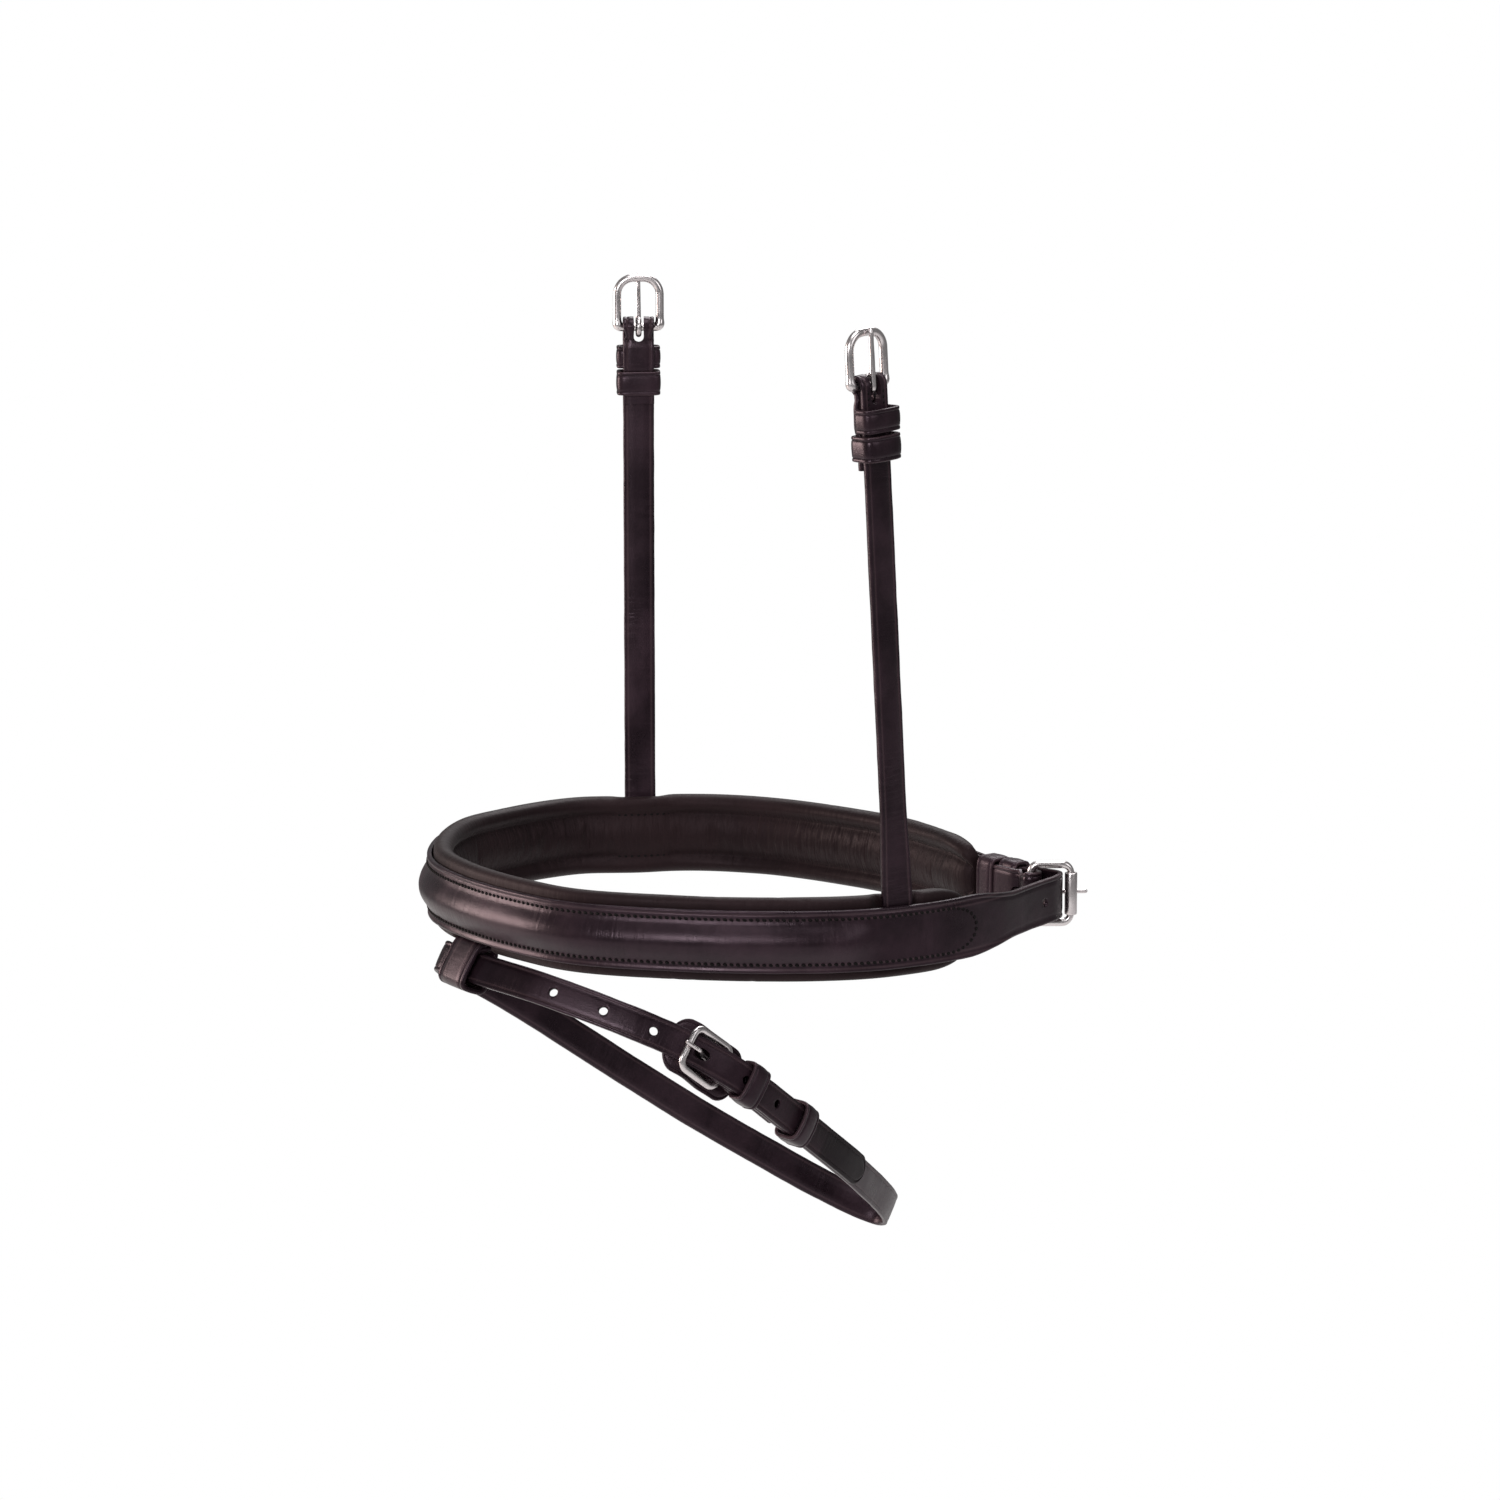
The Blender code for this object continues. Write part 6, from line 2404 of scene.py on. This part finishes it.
@dataclass
class FlashStrap:
    """The strap that hangs in the tab, with its buckle, guard and keepers."""

    loop: LoopRoute
    leather: LeatherSet
    plain: LeatherSet
    thread: bpy.types.Material
    steel: bpy.types.Material
    frame: WireFrame = WireFrame(FLASH_FRAME_REACH, FLASH_FRAME_WIDTH, FLASH_WIRE,
                                 heel_round=0.0030, front_round=0.0036, flatten=0.76)
    tongue: WireTongue = WireTongue(FLASH_WIRE / 2.0, FLASH_TONGUE_WIRE)
    holes: range = range(-2, 4)

    def build(self) -> None:
        """Make every piece."""
        self.strap()
        self.buckle()
        self.guard()
        route = self.loop.route
        depth = FLASH_THICK * KEEPER_HOLD + GAP
        fixed = Keeper("flash_fixed_keeper", "flash_loop", FLASH_WIDTH, depth)
        fixed.build(route.at(route.total - FLASH_KEEPER_DROP), self.plain)
        running = Keeper("flash_running_keeper", "flash_slider", FLASH_WIDTH, depth, running=True,
                         bulge=0.0010)
        running.build(route.at(route.total - FLASH_KEEPER_DROP - FLASH_KEEPER_PITCH), self.plain)

    @property
    def hole_length(self) -> float:
        """Length along the billet to the hole that the tongue is in."""
        return self.loop.heel_length + FLASH_PASS

    def strap(self) -> bpy.types.Object:
        """Make the strap with its holes and the slit for the tongue.

        Returns:
            The strap.
        """
        loop = self.loop
        tip = FLASH_WIDTH / 2.0
        places = [tip * share for share in TIP_SHARES]
        places += [length for length in loop.route.lengths if length > tip]
        section = StrapSection(FLASH_THICK)
        stations = [loop.route.at(length) for length in places] + loop.fold
        outlines = [section.outline(tip_width(length, FLASH_WIDTH, tip)) for length in places]
        outlines += [section.outline(FLASH_WIDTH)] * len(loop.fold)
        item = sweep("flash_strap_piece", stations, outlines)
        weather(item, WEAR_STRAP, WAVES_STRAP)
        reach = loop.fold_radius + FLASH_THICK
        cutters = [slit("flash_slit", loop.heel, loop.end.heading, loop.bar_axis,
                        (reach + FLASH_TONGUE_WIRE * 1.5, reach),
                        loop.fold_radius + FLASH_THICK * SLIT_DEPTH)]
        cutters += punch_row("flash_hole", loop.route, self.hole_length, FLASH_HOLE_PITCH,
                             self.holes, FLASH_THICK, HOLE_DRAWN)
        cut(item, cutters, touching=True)
        finish(item, self.leather.listed(), "flash_loop", STRAP_SLOT, "flash_strap")
        start = FLASH_KEEPER_DROP + KEEPER_WIDTH / 2.0 + KEEPER_STITCH_GAP * 2.0
        sew_edges("flash_stitching", loop.route, (start, FLASH_TURN_IN - FINE_START),
                  (FLASH_WIDTH, FLASH_THICK), self.thread, "flash_loop")
        return item

    def buckle(self) -> None:
        """Make the frame and the tongue."""
        loop = self.loop
        forward, bar_axis, heel = loop.forward, loop.bar_axis, loop.heel
        outward = (loop.end.normal - forward * loop.end.normal.dot(forward)).normalized()
        frame_piece = self.frame.build("flash_buckle_frame_piece", heel, forward, bar_axis)
        finish(frame_piece, [self.steel], "flash_frame", STEEL_SLOT, "flash_buckle_frame")
        rest = FLASH_WIRE / 2.0 + GAP + FLASH_TONGUE_WIRE / 2.0
        hole = loop.route.at(self.hole_length)
        through = hole.point
        above = hole.point + hole.normal * (FLASH_THICK / 2.0 + rest) + forward * rest
        over = heel + forward * FLASH_FRAME_REACH + outward * rest
        tip = over + forward * (FLASH_WIRE / 2.0 + FLASH_TONGUE_WIRE)
        line = [through - (above - through) * 0.25, through, above, above.lerp(over, 0.55), over,
                tip]
        tongue_piece = self.tongue.build("flash_buckle_tongue_piece", heel, -bar_axis, line)
        finish(tongue_piece, [self.steel], "flash_tongue", STEEL_SLOT, "flash_buckle_tongue")

    def guard(self) -> bpy.types.Object:
        """Make the leaf of leather between the buckle and the skin.

        Returns:
            The guard.
        """
        loop = self.loop
        heel_length = loop.heel_length
        billet_offset = (FLASH_THICK + GUARD_THICK) / 2.0 + GAP
        heel_station = loop.route.at(heel_length)
        heel_offset = (heel_station.point - loop.heel).dot(heel_station.normal)
        heel_offset += loop.fold_radius + FLASH_THICK / 2.0 + GAP + GUARD_THICK / 2.0
        steps = round(GUARD_LENGTH / (STEP * 0.7))
        points = []
        for step in range(steps + 1):
            distance = heel_length - GUARD_BEHIND + GUARD_LENGTH * step / steps
            station = loop.route.at(distance)
            rising = ease((distance - heel_length - loop.fold_radius * 1.6) / (GUARD_BEHIND * 0.9))
            offset = heel_offset + (billet_offset - heel_offset) * rising
            points.append(station.point - station.normal * offset)
        route = Route(stations_of(points, loop.width_axis))
        rounding = GUARD_WIDTH / 3.0
        places = [rounding * share for share in TIP_SHARES]
        places += [length for length in route.lengths if rounding < length < route.total - rounding]
        places += [route.total - rounding * share for share in reversed(TIP_SHARES)]
        section = StrapSection(GUARD_THICK, round_edge=0.0004)
        outlines = [section.outline(tip_width(min(length, route.total - length), GUARD_WIDTH,
                                              rounding)) for length in places]
        item = sweep("flash_buckle_guard_piece", [route.at(length) for length in places], outlines)
        weather(item, WEAR_SMALL, WAVES_GUARD)
        return finish(item, self.plain.listed(), "flash_loop", STRAP_SLOT, "flash_buckle_guard")


def away_at(azimuth: float, elevation: float) -> Vector:
    """Give the direction from the noseband to a lamp or the camera.

    Args:
        azimuth: its turn from the front of the nose towards the left side, in degrees.
        elevation: its height, in degrees.

    Returns:
        The unit direction.
    """
    turn, rise = math.radians(azimuth), math.radians(elevation)
    return Vector((math.sin(turn) * math.cos(rise), -math.cos(turn) * math.cos(rise),
                   math.sin(rise)))


@dataclass(frozen=True)
class Lamp:
    """A soft square lamp that looks at the noseband."""

    name: str
    azimuth: float
    elevation: float
    distance: float
    size: float
    power: float
    colour: Colour = (1.0, 1.0, 1.0)

    def build(self, target: Vector) -> None:
        """Hang the lamp.

        Args:
            target: where it points.
        """
        light = bpy.data.lights.new(self.name, "AREA")
        light.shape = "SQUARE"
        light.size = self.size
        light.energy = self.power
        light.color = self.colour
        item = bpy.data.objects.new(self.name, light)
        away = away_at(self.azimuth, self.elevation)
        item.location = target + away * self.distance
        item.rotation_euler = away.to_track_quat("Z", "Y").to_euler()
        bpy.context.scene.collection.objects.link(item)


@dataclass(frozen=True)
class Studio:
    """Pale floor, soft lamps, white surround and the camera."""

    floor_height: float = -0.42
    floor_half: float = 6.0
    target: Vector = field(default_factory=lambda: Vector((0.0, 0.0, 0.051)))
    azimuth: float = 65.0
    elevation: float = 11.0
    distance: float = 2.03
    lens: float = 129.6
    sensor_width: float = 36.0
    ambient: float = 0.20
    floor_tone: float = 0.80
    lamps: tuple[Lamp, ...] = (
        Lamp("key_lamp", 48.0, 20.0, 1.5, 0.5, 9.0),
        Lamp("top_lamp", 80.0, 75.0, 1.4, 0.8, 9.0),
        Lamp("fill_lamp", 115.0, 25.0, 1.6, 0.8, 3.5),
        Lamp("nose_lamp", -32.0, 6.0, 1.5, 0.7, 18.0, (1.0, 0.86, 0.78)),
        Lamp("back_lamp", 235.0, 48.0, 1.6, 0.9, 14.0),
    )

    def floor(self) -> bpy.types.Object:
        """Make the floor.

        Returns:
            The floor.
        """
        half = self.floor_half
        mesh = bpy.data.meshes.new("floor")
        corners = [(-half, -half), (half, -half), (half, half), (-half, half)]
        mesh.from_pydata([(x, y, self.floor_height) for x, y in corners], [], [(0, 1, 2, 3)])
        graph = Graph("floor_white")
        graph.shader.inputs["Base Color"].default_value = (*[self.floor_tone] * 3, 1.0)
        graph.shader.inputs["Roughness"].default_value = 0.9
        paths = graph.node("ShaderNodeLightPath")
        glow = graph.node("ShaderNodeEmission", Strength=1.0)
        mixed = graph.node("ShaderNodeMixShader")
        graph.link(paths.outputs["Is Camera Ray"], mixed.inputs[0])
        graph.link(graph.shader.outputs[0], mixed.inputs[1])
        graph.link(glow.outputs[0], mixed.inputs[2])
        output = graph.tree.nodes["Material Output"]
        graph.link(mixed.outputs[0], output.inputs["Surface"])
        return dress(link("floor", mesh), [graph.material])

    def surround(self) -> None:
        """Light the scene evenly and show white behind the noseband."""
        world = bpy.data.worlds.new("surround")
        bpy.context.scene.world = world
        world.use_nodes = True
        tree = world.node_tree
        plain = tree.nodes["Background"]
        plain.inputs["Color"].default_value = (1.0, 1.0, 1.0, 1.0)
        plain.inputs["Strength"].default_value = self.ambient
        white = tree.nodes.new("ShaderNodeBackground")
        white.inputs["Color"].default_value = (1.0, 1.0, 1.0, 1.0)
        white.inputs["Strength"].default_value = 1.0
        paths = tree.nodes.new("ShaderNodeLightPath")
        mixed = tree.nodes.new("ShaderNodeMixShader")
        tree.links.new(paths.outputs["Is Camera Ray"], mixed.inputs[0])
        tree.links.new(plain.outputs[0], mixed.inputs[1])
        tree.links.new(white.outputs[0], mixed.inputs[2])
        tree.links.new(mixed.outputs[0], tree.nodes["World Output"].inputs["Surface"])

    def camera(self) -> None:
        """Set the camera at the photograph's angle."""
        lens = bpy.data.cameras.new("camera")
        lens.lens = self.lens
        lens.sensor_width = self.sensor_width
        item = bpy.data.objects.new("camera", lens)
        away = away_at(self.azimuth, self.elevation)
        item.location = self.target + away * self.distance
        item.rotation_mode = "QUATERNION"
        item.rotation_quaternion = (-away).to_track_quat("-Z", "Y")
        bpy.context.scene.collection.objects.link(item)
        bpy.context.scene.camera = item

    def build(self) -> None:
        """Set up the whole studio."""
        self.floor()
        self.surround()
        for lamp in self.lamps:
            lamp.build(self.target)
        self.camera()
        bpy.context.scene.view_settings.view_transform = "Standard"


def main() -> None:
    """Build the noseband and the studio."""
    logging.basicConfig(level=logging.INFO, format="%(message)s")
    Studio().build()
    edge = EdgeLeather("strap_edge").make()
    raw = RawLeather("cut_leather").make()
    flesh = FleshLeather("strap_inside").make()
    thread = Thread("dark_thread").make()
    steel = Steel("polished_steel").make()
    # The band's painted highlight lines lie along its stitch rows and its edge creases.
    rows = (BAND_HEIGHT / 2.0 - STITCH_INSET, BAND_HEIGHT / 2.0 - StrapSection.crease_inset)
    outer = GrainLeather("noseband_leather", lines=rows).make()
    band_leather = LeatherSet(outer, edge, flesh, raw)
    strap_leather = LeatherSet(GrainLeather("strap_leather").make(), edge, flesh, raw)
    soft = SoftLeather("lining_leather").make()
    band = BandRoute()
    loop = LoopRoute()
    NosebandStrap(band, band_leather, thread).build()
    PaddedLining(band, soft, thread).build()
    for side in Side:
        Hanger(side, band, strap_leather, thread, steel).build()
    JawBuckle(band, strap_leather, steel).build()
    FlashTab(band, loop, strap_leather).build()
    # The flash billet's tip gets painted shade.
    outer = GrainLeather("flash_leather", tip_shade_reach=FLASH_TIP_REACH * 0.38).make()
    flash_leather = LeatherSet(outer, edge, flesh, raw)
    FlashStrap(loop, flash_leather, strap_leather, thread, steel).build()


if __name__ == "__main__":
    main()
